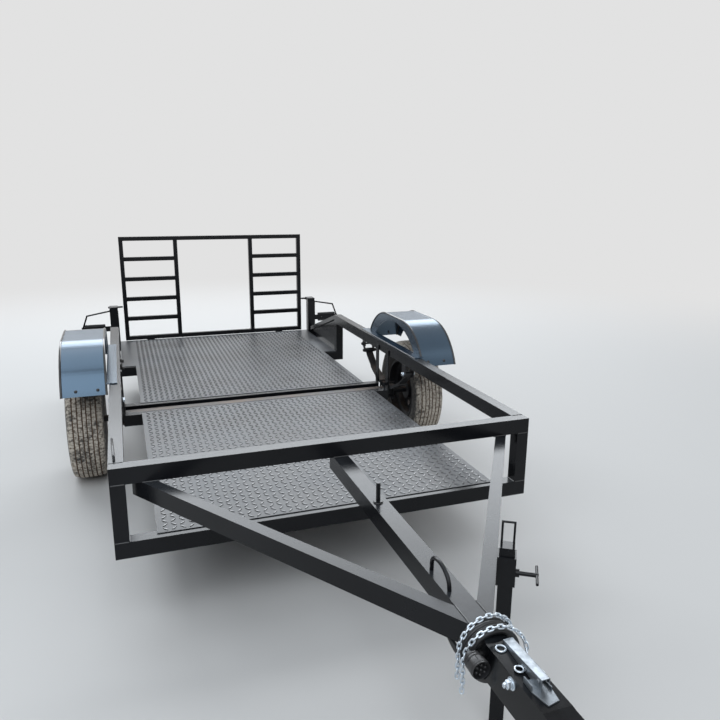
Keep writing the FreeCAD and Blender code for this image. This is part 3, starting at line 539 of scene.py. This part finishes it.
def tyre_profile(depth):
    """(place across, radius, rib) round the tyre from bead to bead; grooves lie between ribs."""
    edge_width = 0.0008
    spots = [(x, radius, None) for x, radius in SIDE_WALL]
    for number, (x0, x1) in enumerate(RIBS):
        for x in (x0, x0 + edge_width, (x0 + x1) / 2, x1 - edge_width, x1):
            share = abs(x) / TREAD_HALF
            crown = TREAD_RADIUS - FOURTH_DROP * share ** 4 - SQUARE_DROP * share ** 2
            in_groove = x in (x0, x1) and abs(x) != TREAD_HALF
            spots.append((x, crown - (depth if in_groove else 0), number))
    spots += [(-x, radius, None) for x, radius in SIDE_WALL[::-1]]
    return spots


class TRAILER_OT_tyres(bpy.types.Operator):
    """Build both tyres with their ribs, grooves and cross cuts"""
    bl_idname = "trailer.tyres"
    bl_label = "Tyres"

    def execute(self, context):
        depth = looks().tread_depth
        blocks = looks().tread_blocks
        profile = tyre_profile(depth)
        for side, sign in SIDES:
            bm = bmesh.new()
            loops = []
            for block in range(blocks):
                for number, share in enumerate(BLOCK_SHARES):
                    loop = []
                    for x, radius, rib in profile:
                        lean = LEAN * abs(x) / TREAD_HALF
                        angle = 2 * math.pi * (block + share + lean) / blocks
                        if rib is not None:
                            if radius > RIB_RADIUS and number in RIB_CUTS[rib % 2]:
                                radius -= depth * 0.6
                        elif (radius > SHOULDER_RADIUS and abs(x) > SHOULDER_X
                                and number in SHOULDER_CUTS):
                            x -= math.copysign(NOTCH, x)
                        y, z = on_circle(radius, angle)
                        loop.append(bm.verts.new((sign * WHEEL_X + x, AXLE_Y + y, AXLE_Z + z)))
                    loops.append(loop)
            skin(bm, loops, True)
            name = "tyre_" + side
            finish_piece(name + "_tread", bm, "tyre", stands_for=[name], body="wheel_" + side)
        return {"FINISHED"}


# Turned parts of the wheels, as (distance along the axis, radius)
WHEEL_SEAT = ((0, 0.0115), (0.004, 0.0112), (0.0045, 0.0098))
WHEEL_BOLT = ((0.0045, 0.0096), (0.017, 0.0096), (0.0195, 0.0078))
HUB_CAP = ((-0.022, 0.0312), (-0.019, 0.0325), (-0.01, 0.0325), (-0.008, 0.0306), (0.004, 0.03),
           (0.009, 0.028), (0.012, 0.023), (0.0132, 0.015), (0.0136, 0.005))
VALVE = ((0, 0.0075), (0.004, 0.0078), (0.008, 0.0052), (0.028, 0.0042), (0.029, 0.005),
         (0.04, 0.005), (0.042, 0.004))
HUB_END = 0.9752
DISC_FACE = WHEEL_X + 0.0143
BOLT_CIRCLE = 0.049
VALVE_FOOT = Vector((WHEEL_X + 0.046, AXLE_Y + 0.16, AXLE_Z + 0.06))
VALVE_WAY = Vector((0.9, -0.4, -0.15))


class TRAILER_OT_wheel_fittings(bpy.types.Operator):
    """Add the wheel bolts, the hub caps and the valves"""
    bl_idname = "trailer.wheel_fittings"
    bl_label = "Wheel fittings"

    def execute(self, context):
        for side, sign in SIDES:
            out = TO_RIGHT * sign
            wheel = "wheel_" + side
            bm = bmesh.new()
            for y, z in around(5, BOLT_CIRCLE, 0.3):
                seat = (sign * DISC_FACE, AXLE_Y + y, AXLE_Z + z)
                turned(bm, WHEEL_SEAT, seat, out, 16)
                turned(bm, WHEEL_BOLT, seat, out, 6)
            finish_piece("wheel_bolts_" + side, bm, "zinc", crease=35.0, body=wheel)
            bm = bmesh.new()
            turned(bm, HUB_CAP, (sign * HUB_END, AXLE_Y, AXLE_Z), out, 28)
            finish_piece("hub_cap_" + side, bm, "axle_steel", crease=35.0, body=wheel)
            bm = bmesh.new()
            outward = Vector((sign, 1, 1))
            turned(bm, VALVE, VALVE_FOOT * outward, VALVE_WAY * outward, 12)
            finish_piece("tyre_valve_" + side, bm, "tyre", "plug_plastic", 35, body=wheel)
        return {"FINISHED"}


# The lighting lead: its run out of the drawbar, its run to the plug, and its coil
LEAD_START = ((-0.0464, -1.8845, 0.483), (-0.0464, -1.9245, 0.463), (-0.0464, -1.96, 0.463))
LEAD_END = ((-0.0655, -2.029, 0.513), (-0.0725, -2.036, 0.526), (-0.072, -2.048, 0.5305))
COIL_Y = -1.9755
COIL_Z = 0.49948
COIL_RADIUS = 0.0592
COIL_PITCH = 0.0139
COIL_START = math.radians(198)
COIL_STEPS = 65
STEPS_A_TURN = 16
# The plug's shell, and one of its pins, as (distance along the axis, radius)
PLUG_SHELL = ((0, 0.0095), (0.004, 0.011), (0.007, 0.0114), (0.009, 0.015), (0.013, 0.0182),
              (0.0145, 0.0197), (0.017, 0.0197), (0.0185, 0.0182), (0.0215, 0.0197),
              (0.024, 0.0197), (0.0255, 0.0182), (0.029, 0.0205), (0.032, 0.0213), (0.043, 0.0213),
              (0.0435, 0.022), (0.049, 0.022), (0.0495, 0.0213), (0.053, 0.0213),
              (0.0538, 0.02), (0.048, 0.019), (0.042, 0.0185))
PLUG_PIN = ((0, 0.0026), (0.009, 0.0026), (0.0105, 0.0015))


def lead_route():
    """The points of the lead's spline, with turns that differ a little in size."""
    rng = random.Random(4)
    swell = [rng.uniform(-0.0008, 0.0012) for _ in range(COIL_STEPS + 1)]
    turns = []
    for step in range(COIL_STEPS):
        share = step / STEPS_A_TURN
        reach = COIL_RADIUS + 0.5 * (swell[step] + swell[max(step - 1, 0)])
        x, z = on_circle(reach, COIL_START - 2 * math.pi * share)
        turns.append((x, COIL_Y - COIL_PITCH * share, COIL_Z + z))
    return [*LEAD_START, *turns, *LEAD_END]


class TRAILER_OT_lead(bpy.types.Operator):
    """Lay the lighting lead out of the drawbar into its coil, with the plug on its end"""
    bl_idname = "trailer.lead"
    bl_label = "Lighting lead"

    def execute(self, context):
        points = lead_route()
        data = bpy.data.curves.new("lighting_lead", "CURVE")
        data.dimensions = "3D"
        data.bevel_depth = looks().lead_diameter / 2
        data.bevel_resolution = 4
        data.resolution_u = 6
        data.use_fill_caps = True
        spline = data.splines.new("NURBS")
        spline.points.add(len(points) - 1)
        for spot, place in zip(spline.points, points):
            spot.co = (*place, 1)
        spline.order_u = 3
        spline.use_endpoint_u = True
        data.materials.append(finishes["cable_rubber"])
        lead = placed("lighting_lead", data)
        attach(lead, "chassis")
        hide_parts("lead_tube", "lead_coil")

        low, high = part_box("lead_plug")
        x, _, z = (low + high) / 2
        bm = bmesh.new()
        turned(bm, PLUG_SHELL, (x, high.y, z), TO_FRONT, 32)
        for across, rise in [*around(6, 0.011, 0.4), (0, 0)]:
            turned(bm, PLUG_PIN, (x + across, high.y - 0.042, z + rise), TO_FRONT, 10)
        soft_block(bm, (x - 0.004, high.y - 0.048, z + 0.0195),
                   (x + 0.004, high.y - 0.03, z + 0.022), 0.0008)
        plug = finish_piece("lead_plug_shell", bm, "cable_rubber", "plug_plastic",
                            stands_for=["lead_plug"])
        return {"FINISHED"}


def link_centres(name):
    """The centres of a chain node's links, in order from its lowest end."""
    carried = bmesh.new()
    carried.from_mesh(frame["nodes"][name].data)
    bmesh.ops.remove_doubles(carried, verts=carried.verts, dist=1e-5)
    left = set(carried.verts)
    centres = []
    while left:
        group = [left.pop()]
        for corner in group:
            for side in corner.link_edges:
                other = side.other_vert(corner)
                if other in left:
                    left.remove(other)
                    group.append(other)
        centres.append(sum((corner.co for corner in group), Vector()) / len(group))
    carried.free()
    ordered = [min(centres, key=lambda spot: (round(spot.z, 4), round(spot.y, 4)))]
    centres.remove(ordered[0])
    while centres:
        nearest = min(centres, key=lambda spot: (spot - ordered[-1]).length)
        ordered.append(nearest)
        centres.remove(nearest)
    return ordered


def evenly(points, pitch):
    """Points at one pitch along a smooth line through points."""
    fine = []
    for step in range(len(points) - 1):
        before = points[max(step - 1, 0)]
        after = points[min(step + 2, len(points) - 1)]
        first, last = points[step], points[step + 1]
        for part in range(12):
            t = part / 12
            fine.append(0.5 * (2 * first + (last - before) * t
                               + (2 * before - 5 * first + 4 * last - after) * t * t
                               + (3 * first - before - 3 * last + after) * t * t * t))
    fine.append(points[-1])
    spots = [fine[0]]
    run = 0.0
    for first, last in zip(fine, fine[1:]):
        length = (last - first).length
        while run + length >= pitch:
            first = first.lerp(last, (pitch - run) / length)
            length = (last - first).length
            spots.append(first)
            run = 0.0
        run += length
    return spots


# The height of the line that the chains lie round
CHAIN_MIDDLE = 0.4995


def link_line(centre, along, across, pitch):
    """The closed centre line of one link: two half rounds with straight sides."""
    bend, straight = pitch * 0.34, pitch * 0.3
    points = []
    for end in (1, -1):
        for step in range(9):
            a, b = on_circle(bend, math.pi * step / 8 - math.pi / 2)
            points.append(centre + along * (end * (straight + a)) + across * (end * b))
    return points


class TRAILER_OT_chains(bpy.types.Operator):
    """Forge round links along the run of the two chain nodes"""
    bl_idname = "trailer.chains"
    bl_label = "Safety chains"

    def execute(self, context):
        pitch = looks().link_pitch
        for name in ("safety_chain_front", "safety_chain_back"):
            bm = bmesh.new()
            centres = evenly(link_centres(name), pitch)
            for number, centre in enumerate(centres):
                before = centres[max(number - 1, 0)]
                after = centres[min(number + 1, len(centres) - 1)]
                along = (after - before).normalized()
                out = Vector((centre.x, 0, centre.z - CHAIN_MIDDLE))
                out = (out - along * out.dot(along)).normalized()
                a, b = on_circle(1, math.radians(45 if number % 2 else -45))
                across = out * b + along.cross(out) * a
                tube_along(bm, link_line(centre, along, across, pitch), pitch * 0.155, 8, True)
            finish_piece(name + "_links", bm, "zinc", None, 60, [name])
        return {"FINISHED"}


def channel(bm, sections, sheet):
    """A folded channel open below, from (y, left, right, left foot, right foot, top) sections."""
    bend = sheet * 0.8
    loops = []
    for y, left, right, left_foot, right_foot, top in sections:
        outline = ((left, left_foot), (left, top - bend), (left + bend * 0.3, top - bend * 0.3),
                   (left + bend, top), (right - bend, top),
                   (right - bend * 0.3, top - bend * 0.3), (right, top - bend),
                   (right, right_foot), (right - sheet, right_foot), (right - sheet, top - sheet),
                   (left + sheet, top - sheet), (left + sheet, left_foot))
        loops.append([bm.verts.new((x, y, z)) for x, z in outline])
    for first, second in zip(loops, loops[1:]):
        bridge(bm, first, second)
    for loop in (loops[0], loops[-1]):
        for corners in ((0, 1, 10, 11), (1, 2, 3, 4, 5, 6, 9, 10), (6, 7, 8, 9)):
            bm.faces.new([loop[corner] for corner in corners])


def slab(bm, outline, low, high, edge=0.0006):
    """A plate of one thickness with a softened upper edge."""
    outline = [Vector(spot) for spot in outline]
    middle = sum(outline, Vector((0, 0))) / len(outline)
    loops = []
    for z, inset in ((low, 0), (high - edge, 0), (high, edge)):
        corners = [spot + (middle - spot).normalized() * inset for spot in outline]
        loops.append([bm.verts.new((*corner, z)) for corner in corners])
    skin(bm, loops)


# The lever's front end, sheet and rivets (x, y, height over the plate, radius, top radius), and
# the outline of the latch plate below it
LEVER_FRONT = -2.204
LEVER_SHEET = 0.0024
LEVER_RIVETS = ((-0.003, -2.145, 0.0095, 0.0052, 0.0036),
                (-0.0065, -2.1935, 0.02, 0.0045, 0.003))
LATCH_PLATE = ((-0.0215, -2.166), (-0.0225, -2.1985), (-0.013, -2.239), (0.015, -2.233),
               (0.019, -2.208), (0.018, -2.166))
# Rings on the coupler's top: (y, z, radius, wire)
COUPLER_RINGS = ((-2.1355, 0.552, 0.0092, 0.0021), (-2.065, 0.549, 0.0105, 0.0022))
# The bolt through the coupler's sides: washer, collar and nut on the left, head on the right
SIDE_BOLT = Vector((0.033, -2.145, 0.531))
WASHER = ((0, 0.0135), (0.002, 0.0135), (0.0022, 0.0128))
COLLAR = ((0.0022, 0.0105), (0.0052, 0.0105), (0.0054, 0.01))
NUT = ((0.0054, 0.0098), (0.012, 0.0098), (0.0136, 0.0082), (0.0136, 0.0058), (0.019, 0.0056),
       (0.02, 0.0046))
BOLT_HEAD = ((0, 0.0135), (0.002, 0.0135), (0.0022, 0.0105), (0.0095, 0.0098), (0.011, 0.0082))


class TRAILER_OT_coupler(bpy.types.Operator):
    """Add the folded lever, the latch plate, the bolts and the rings of the coupler"""
    bl_idname = "trailer.coupler"
    bl_label = "Coupler fittings"

    def execute(self, context):
        low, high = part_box("coupler_latch")
        base = low.z
        bm = bmesh.new()
        sections = []
        for share in (0, 0.25, 0.5, 0.7, 0.85, 1):
            top = base + 0.009 + 0.021 * share
            sections.append((high.y + (LEVER_FRONT - high.y) * share,
                             0.003 - 0.01 * share, 0.028 - 0.015 * share,
                             base + (0.003 if share > 0.6 else 0.0008),
                             max(base + 0.0008, top - 0.012), top))
        channel(bm, sections, LEVER_SHEET)
        slab(bm, LATCH_PLATE, base, base + 0.003)
        soft_block(bm, (-0.0225, -2.196, base + 0.0005), (-0.02, -2.1665, base + 0.015), 0.0008)
        soft_block(bm, (0.0155, -2.206, base + 0.0005), (0.018, -2.1665, base + 0.01), 0.0008)
        for x, y, rise, radius, top in LEVER_RIVETS:
            rivet = ((0, radius), (0.0014, radius), (0.0024, top))
            turned(bm, rivet, (x, y, base + rise), TO_LEFT, 16)
        finish_piece("latch_lever_and_plate", bm, "zinc", "lever_zinc",
                     stands_for=["coupler_latch"])
        bm = bmesh.new()
        for y, z, radius, wire in COUPLER_RINGS:
            circle = [(-0.011 + a, y + b, z) for a, b in around(28, radius)]
            tube_along(bm, circle, wire, 8, True)
        left_end = SIDE_BOLT * Vector((-1, 1, 1))
        for profile, sides in ((WASHER, 24), (COLLAR, 24), (NUT, 6)):
            turned(bm, profile, left_end, TO_LEFT, sides)
        turned(bm, BOLT_HEAD, SIDE_BOLT, TO_RIGHT, 6)
        bolt(bm, (0.038, -2.0675, 0.477), TO_RIGHT, 0.013, 0.006, 0.0095)
        finish_piece("coupler_bolts", bm, "zinc")
        return {"FINISHED"}


# Rear lamps: the width of the amber lens, the distance of its ribs, and the screws
AMBER_WIDTH = 0.105
RIB_PITCH = 0.005
LAMP_STUD = ((-0.016, 0.0028), (-0.006, 0.0028), (-0.0055, 0.0065), (0.0002, 0.0065))
LENS_SCREW = ((0, 0.003), (0.0016, 0.003), (0.0022, 0.002))


def lamp_glass(bm, x0, x1, low, high):
    """One lens of a rear lamp, with upright ribs and a screw."""
    soft_block(bm, (x0, high.y - 0.012, low.z + 0.005), (x1, high.y - 0.002, high.z - 0.005), 0.002)
    for step in range(int((x1 - x0 - 0.008) / RIB_PITCH)):
        x = x0 + 0.006 + step * RIB_PITCH
        soft_block(bm, (x - 0.0016, high.y - 0.003, low.z + 0.009),
                   (x + 0.0016, high.y - 0.0008, high.z - 0.009), 0.0006)
    turned(bm, LENS_SCREW, ((x0 + x1) / 2, high.y - 0.0022, high.z - 0.0072), TO_GATE, 12)


class TRAILER_OT_rear_lamps(bpy.types.Operator):
    """Build the rear lamps: a black housing with a red and an amber lens, held by screws"""
    bl_idname = "trailer.rear_lamps"
    bl_label = "Rear lamps"

    def execute(self, context):
        for side, sign in SIDES:
            low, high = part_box("rear_lamp_" + side)
            bm = bmesh.new()
            soft_block(bm, low, (high.x, high.y - 0.013, high.z), 0.004)
            soft_block(bm, (low.x + 0.002, high.y - 0.014, low.z + 0.002),
                       (high.x - 0.002, high.y - 0.011, high.z - 0.002), 0.001)
            for share in (0.2, 0.8):
                x = low.x + (high.x - low.x) * share
                turned(bm, LAMP_STUD, (x, low.y, (low.z + high.z) / 2), TO_GATE, 6)
            finish_piece("rear_lamp_housing_" + side, bm, "cable_rubber", "plug_plastic",
                         stands_for=["rear_lamp_" + side])
            outer, inner = (low.x, high.x) if sign < 0 else (high.x, low.x)
            split = outer - sign * AMBER_WIDTH
            for colour, ends, finish in (("red", (split, inner), "lamp_lens"),
                                         ("amber", (outer, split), "lamp_amber")):
                bm = bmesh.new()
                lamp_glass(bm, min(ends) + 0.004, max(ends) - 0.004, low, high)
                finish_piece("rear_lamp_%s_%s" % (colour, side), bm, "lamp_lens", finish)
        return {"FINISHED"}


def upper_outline(spots):
    """The upper outline of a set of (along, height) spots, from one end to the other."""
    outline = []
    for spot in sorted(spots):
        while len(outline) > 1:
            (y0, z0), (y1, z1) = outline[-2:]
            if (y1 - y0) * (spot[1] - z0) < (z1 - z0) * (spot[0] - y0):
                break
            outline.pop()
        outline.append(spot)
    return outline


class TRAILER_OT_fender_edges(bpy.types.Operator):
    """Roll the side edges of the fenders round a wire"""
    bl_idname = "trailer.fender_edges"
    bl_label = "Fender edges"

    def execute(self, context):
        inner_edge = 0.8145
        sink = 0.0015
        for side, sign in SIDES:
            corners = [corner.co for corner in frame["nodes"]["fender_" + side].data.vertices]
            reach = max(abs(corner.x) for corner in corners)
            outer = [corner for corner in corners if abs(corner.x) > reach - 0.0005]
            outline = upper_outline([(corner.y, corner.z) for corner in outer])
            bm = bmesh.new()
            for x in (reach - sink, inner_edge):
                tube_along(bm, [(sign * x, y, z - sink) for y, z in outline], 0.0055, 12)
            finish_piece("fender_edges_" + side, bm, "fender_paint", "edge_paint", 40)
        return {"FINISHED"}


# The middle of a leaf spring across the trailer, its front eye and its shackle's pins
SPRING_X = 0.775
SPRING_EYE = (0.2155, 0.488)
SHACKLE_PINS = ((0.8355, 0.488), (0.8655, 0.525))
# Fender screws: head, nut, places across, along from the axle and up, and the fender's slope
SCREW_HEAD = ((-0.0006, 0.0075), (0.001, 0.0075), (0.0026, 0.0056), (0.0032, 0.003))
SCREW_NUT = ((-0.012, 0.0052), (-0.003, 0.0052), (-0.0026, 0.0066))
SCREW_X, SCREW_REACH, SCREW_Z = (0.852, 0.948), 0.4095, 0.5755
SCREW_SLOPE = (0.913, 0.409)
# The bolts beside the gate's hinges, and the rod on the left rail with its rise over the rail
HINGE_X, HINGE_BOLT_X, HINGE_BOLT_Y, HINGE_BOLT_Z = (-0.5, 0.5), 0.028, 2.3045, 0.305
ROD_START, ROD_END = Vector((-0.787, -0.672, 0.603)), Vector((-0.78, -0.869, 0.603))
ROD_RISE = 0.012


def spring_bolts(name, finish, sign, reach, places):
    """Bolt heads on both sides of a spring's eye or shackle."""
    bm = bmesh.new()
    for y, z in places:
        for way in (-1, 1):
            bolt(bm, (sign * SPRING_X + way * reach, y, z), (way, 0, 0), 0.018, 0.009, 0.0125)
    finish_piece(name, bm, finish)


class TRAILER_OT_fastenings(bpy.types.Operator):
    """Set the bolts of the springs and hinges, the fender screws, and the rod on the left rail"""
    bl_idname = "trailer.fastenings"
    bl_label = "Bolts and small rods"

    def execute(self, context):
        for side, sign in SIDES:
            spring_bolts("spring_eye_bolt_" + side, "zinc", sign, 0.0278, [SPRING_EYE])
            spring_bolts("shackle_bolts_" + side, "axle_steel", sign, 0.0328, SHACKLE_PINS)
            bm = bmesh.new()
            for way in (-1, 1):
                normal = (0, way * SCREW_SLOPE[0], SCREW_SLOPE[1])
                for x in SCREW_X:
                    seat = (sign * x, AXLE_Y + way * SCREW_REACH, SCREW_Z)
                    turned(bm, SCREW_HEAD, seat, normal, 20)
                    turned(bm, SCREW_NUT, seat, normal, 6)
            finish_piece("fender_screws_" + side, bm, "frame_paint", "axle_steel")
            bm = bmesh.new()
            for x in HINGE_X:
                seat = (x + sign * HINGE_BOLT_X, HINGE_BOLT_Y, HINGE_BOLT_Z)
                bolt(bm, seat, TO_GATE, 0.013, 0.005)
            finish_piece("hinge_bolts_" + side, bm, "zinc")
        bm = bmesh.new()
        line = []
        for share, lift in ((0, 0), (0.03, 0.8), (0.08, 1), (0.92, 1), (0.97, 0.8), (1, 0)):
            line.append(ROD_START.lerp(ROD_END, share) + Vector((0, 0, ROD_RISE * lift)))
        tube_along(bm, line, 0.0045, 10)
        finish_piece("rail_tie_rod", bm, "frame_paint", crease=40.0)
        return {"FINISHED"}


# Faces that the welds run along, and the welds of one side, with X away from the middle: start,
# axis (0 is X) and end on that axis, then the bead's thickness and the distance of its ripples
HOOP_FRONT, HOOP_BACK = -0.9395, -0.8895
RAIL_IN, RAIL_TOP = 0.75, 0.603
HOOP_SILL, BAR_TOP, BAR_END = 0.333, 0.543, -1.9655
SIDE_WELDS = (
    ((0.752, HOOP_FRONT, HOOP_SILL), 0, 0.798),
    ((RAIL_IN, -0.938, HOOP_SILL), 1, -0.891),
    ((0.752, HOOP_FRONT, BAR_TOP), 0, 0.798),
    ((RAIL_IN, -0.938, BAR_TOP), 1, -0.891),
    ((0.7505, HOOP_BACK, 0.545), 2, 0.601),
    ((0.752, HOOP_BACK, RAIL_TOP), 0, 0.798, 0.0018),
    ((0.64, HOOP_FRONT, BAR_TOP), 0, 0.696),
    ((0.0285, BAR_END, 0.486), 2, 0.541, 0.0035),
    ((0.0285, BAR_END, BAR_TOP), 1, -1.89, 0.0024),
    ((RAIL_IN, 2.2405, 0.336), 2, 0.585, 0.0024),
    ((0.765, 0.103, 0.6045), 1, 0.948, 0.0022, 0.006),
    ((0.81, 2.2755, 0.425), 2, 0.461, 0.0022),
    ((RAIL_IN, 0.4325, 0.336), 2, 0.395, 0.0026),
    ((RAIL_IN, 0.6375, 0.336), 2, 0.395, 0.0026),
)
# The stud on the centre bar, and the gate's faces and rungs
STUD_X, STUD_Y, STUD_WELD = -0.004, -1.3265, 0.0152
GATE_FRONT, GATE_BACK = 2.3135, 2.3415
GATE_BASE, GATE_RISE, RUNG = 0.337, 0.77, 0.03


class TRAILER_OT_welds(bpy.types.Operator):
    """Run the weld beads along the joints of the frame, the drawbars and the gate"""
    bl_idname = "trailer.welds"
    bl_label = "Welds"

    def execute(self, context):
        bm = bmesh.new()
        for _, sign in SIDES:
            outward = Vector((sign, 1, 1))
            for start, axis, reach, *bead in SIDE_WELDS:
                end = Vector(start)
                end[axis] = reach
                weld(bm, Vector(start) * outward, end * outward, *bead)
        weld(bm, (-0.027, HOOP_FRONT, BAR_TOP), (0.027, HOOP_FRONT, BAR_TOP))
        weld(bm, (-0.028, -2.0395, 0.5435), (0.028, -2.0395, 0.5435), 0.003)
        circle = [(STUD_X + a, STUD_Y + b, 0.5435) for a, b in around(18, STUD_WELD)]
        for first, last in zip(circle, circle[1:] + circle[:1]):
            weld(bm, first, last, 0.0018)
        finish_piece("frame_welds", bm, "frame_paint", "weld_bead", 60)

        heights = [GATE_BASE + step * GATE_RISE / 5 + lift for step in range(1, 5)
                   for lift in (0, RUNG)]
        places = [(x, z) for x in (0.308, 0.678) for z in heights]
        places += [(x, z) for x in (0.278, 0.308, 0.678, 0.708) for z in (0.367, 1.107)]
        bm = bmesh.new()
        for _, sign in SIDES:
            for x, z in places:
                weld(bm, (sign * x, GATE_FRONT, z), (sign * x, GATE_BACK, z), 0.0019)
        finish_piece("gate_welds", bm, "frame_paint", "weld_bead", 60, body="gate")
        return {"FINISHED"}


# Tones of backdrop, floor and sky, the distances of the floor's fade, and the lamps (name, place,
# aim, width, height, watts, colour)
PALE = (0.76, 0.76, 0.76, 1)
FLOOR = (0.6, 0.585, 0.565, 1)
SKY = (0.8, 0.87, 0.96, 1)
SKY_STRENGTH = 0.3
FADE = (3.5, 9)
COOL = (0.86, 0.93, 1)
LAMPS = (
    ("key_light", (-3.2, -5.9, 7.2), (0, 0, 0.3), 8.4, 8.4, 500, COOL),
    ("top_light", (-1.5, 2, 7.4), (-1.5, 2, 0), 3.5, 7, 125, COOL),
    ("fill_light", (6, -3, 4.5), (0, 0, 0.3), 5, 5, 40, (1, 1, 1)),
    ("back_light", (1.5, 9.5, 6.7), (0.3, 0, 0.4), 18, 5.2, 1450, (0.9, 0.95, 1)),
)
# The photograph's camera, fitted to the trailer: angles in radians, focal length in its pixels
CAMERA_PLACE = (-0.7114, -3.1135, 1.4897)
YAW, PITCH, ROLL = 0.3456, 0.2486, 0.0074
FOCAL_PIXELS = 667.15
PICTURE_PIXELS = 720.0
SENSOR_WIDTH = 36.0


def lay_floor():
    """A pale floor that keeps the shadow and fades into the backdrop's tone far away."""
    bm = bmesh.new()
    bmesh.ops.create_grid(bm, x_segments=1, y_segments=1, size=60.0)
    mesh = bpy.data.meshes.new("stage_floor")
    bm.to_mesh(mesh)
    bm.free()
    ground = placed("stage_floor", mesh)
    ground.location.z = -0.0006
    tree, shader, coords = new_material("stage_floor")
    shader.inputs["Base Color"].default_value = FLOOR
    shader.inputs["Roughness"].default_value = 0.9
    glow = node(tree, "ShaderNodeEmission", {"Color": PALE, "Strength": 1})
    away = node(tree, "ShaderNodeVectorMath", {0: coords["Object"]}, operation="LENGTH")
    far = mask(tree, away.outputs["Value"], *FADE)
    joined = node(tree, "ShaderNodeMixShader", {0: far, 1: shader.outputs[0], 2: glow.outputs[0]})
    tree.links.new(joined.outputs[0], tree.nodes["Material Output"].inputs[0])
    mesh.materials.append(finishes["stage_floor"])


def hang_backdrop(scene):
    """A world that lights softly, and shows the backdrop's tone to the camera and in gloss."""
    world = bpy.data.worlds.new("studio")
    world.use_nodes = True
    tree = world.node_tree
    sky = tree.nodes["Background"]
    sky.inputs[0].default_value = SKY
    sky.inputs[1].default_value = SKY_STRENGTH
    seen = node(tree, "ShaderNodeBackground", {"Color": PALE, "Strength": 1})
    path = node(tree, "ShaderNodeLightPath").outputs
    share = plus(tree, path["Is Camera Ray"], path["Is Glossy Ray"], True)
    share = plus(tree, share, path["Is Transmission Ray"], True)
    both = node(tree, "ShaderNodeMixShader", {0: share, 1: sky.outputs[0], 2: seen.outputs[0]})
    tree.links.new(both.outputs[0], tree.nodes["World Output"].inputs[0])
    scene.world = world


def hang_lamp(name, place, aim, wide, tall, power, colour):
    """One soft box."""
    data = bpy.data.lights.new(name, "AREA")
    data.color = colour
    data.shape = "RECTANGLE"
    data.size = wide
    data.size_y = tall
    data.energy = power
    lamp = placed(name, data)
    lamp.location = place
    lamp.rotation_euler = (Vector(aim) - Vector(place)).to_track_quat("-Z", "Y").to_euler()


def set_camera(scene):
    """The camera at the photograph's viewing angle."""
    level = math.cos(PITCH)
    forward = Vector((math.sin(YAW) * level, math.cos(YAW) * level, -math.sin(PITCH)))
    right = Vector((math.cos(YAW), -math.sin(YAW), 0))
    up = right.cross(forward)
    right, up = (right * math.cos(ROLL) + up * math.sin(ROLL),
                 up * math.cos(ROLL) - right * math.sin(ROLL))
    turn = Matrix((right, up, -forward)).transposed()
    data = bpy.data.cameras.new("photo_view")
    data.sensor_width = SENSOR_WIDTH
    data.lens = SENSOR_WIDTH * FOCAL_PIXELS / PICTURE_PIXELS
    data.clip_start = 0.05
    camera = placed("photo_view", data)
    camera.matrix_world = Matrix.Translation(CAMERA_PLACE) @ turn.to_4x4()
    scene.camera = camera


class TRAILER_OT_stage(bpy.types.Operator):
    """Set the pale floor, the soft lights and the camera"""
    bl_idname = "trailer.stage"
    bl_label = "Stage"

    def execute(self, context):
        scene = bpy.context.scene
        lay_floor()
        hang_backdrop(scene)
        for lamp in LAMPS:
            hang_lamp(*lamp)
        set_camera(scene)
        scene.view_settings.view_transform = "Standard"
        return {"FINISHED"}


OPERATORS = (
    TRAILER_OT_finishes,
    TRAILER_OT_tread_plates,
    TRAILER_OT_tyres,
    TRAILER_OT_wheel_fittings,
    TRAILER_OT_lead,
    TRAILER_OT_chains,
    TRAILER_OT_coupler,
    TRAILER_OT_rear_lamps,
    TRAILER_OT_fender_edges,
    TRAILER_OT_fastenings,
    TRAILER_OT_welds,
    TRAILER_OT_stage,
)


class TRAILER_PT_panel(bpy.types.Panel):
    """Lists the trailer's sizes and colours, and its pieces"""
    bl_idname = "TRAILER_PT_panel"
    bl_label = "Utility Trailer"
    bl_space_type = "VIEW_3D"
    bl_region_type = "UI"
    bl_category = "Trailer"

    def draw(self, context):
        column = self.layout.column()
        for key in TrailerLooks.__annotations__:
            column.prop(context.scene.trailer_looks, key)
        for operator in OPERATORS:
            column.operator(operator.bl_idname)


def register():
    bpy.utils.register_class(TrailerLooks)
    for operator in OPERATORS:
        bpy.utils.register_class(operator)
    bpy.utils.register_class(TRAILER_PT_panel)
    bpy.types.Scene.trailer_looks = PointerProperty(type=TrailerLooks)


def unregister():
    del bpy.types.Scene.trailer_looks
    bpy.utils.unregister_class(TRAILER_PT_panel)
    for operator in reversed(OPERATORS):
        bpy.utils.unregister_class(operator)
    bpy.utils.unregister_class(TrailerLooks)


def main():
    """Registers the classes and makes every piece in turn."""
    register()
    for operator in OPERATORS:
        group, name = operator.bl_idname.split(".")
        getattr(getattr(bpy.ops, group), name)()


if __name__ == "__main__":
    main()
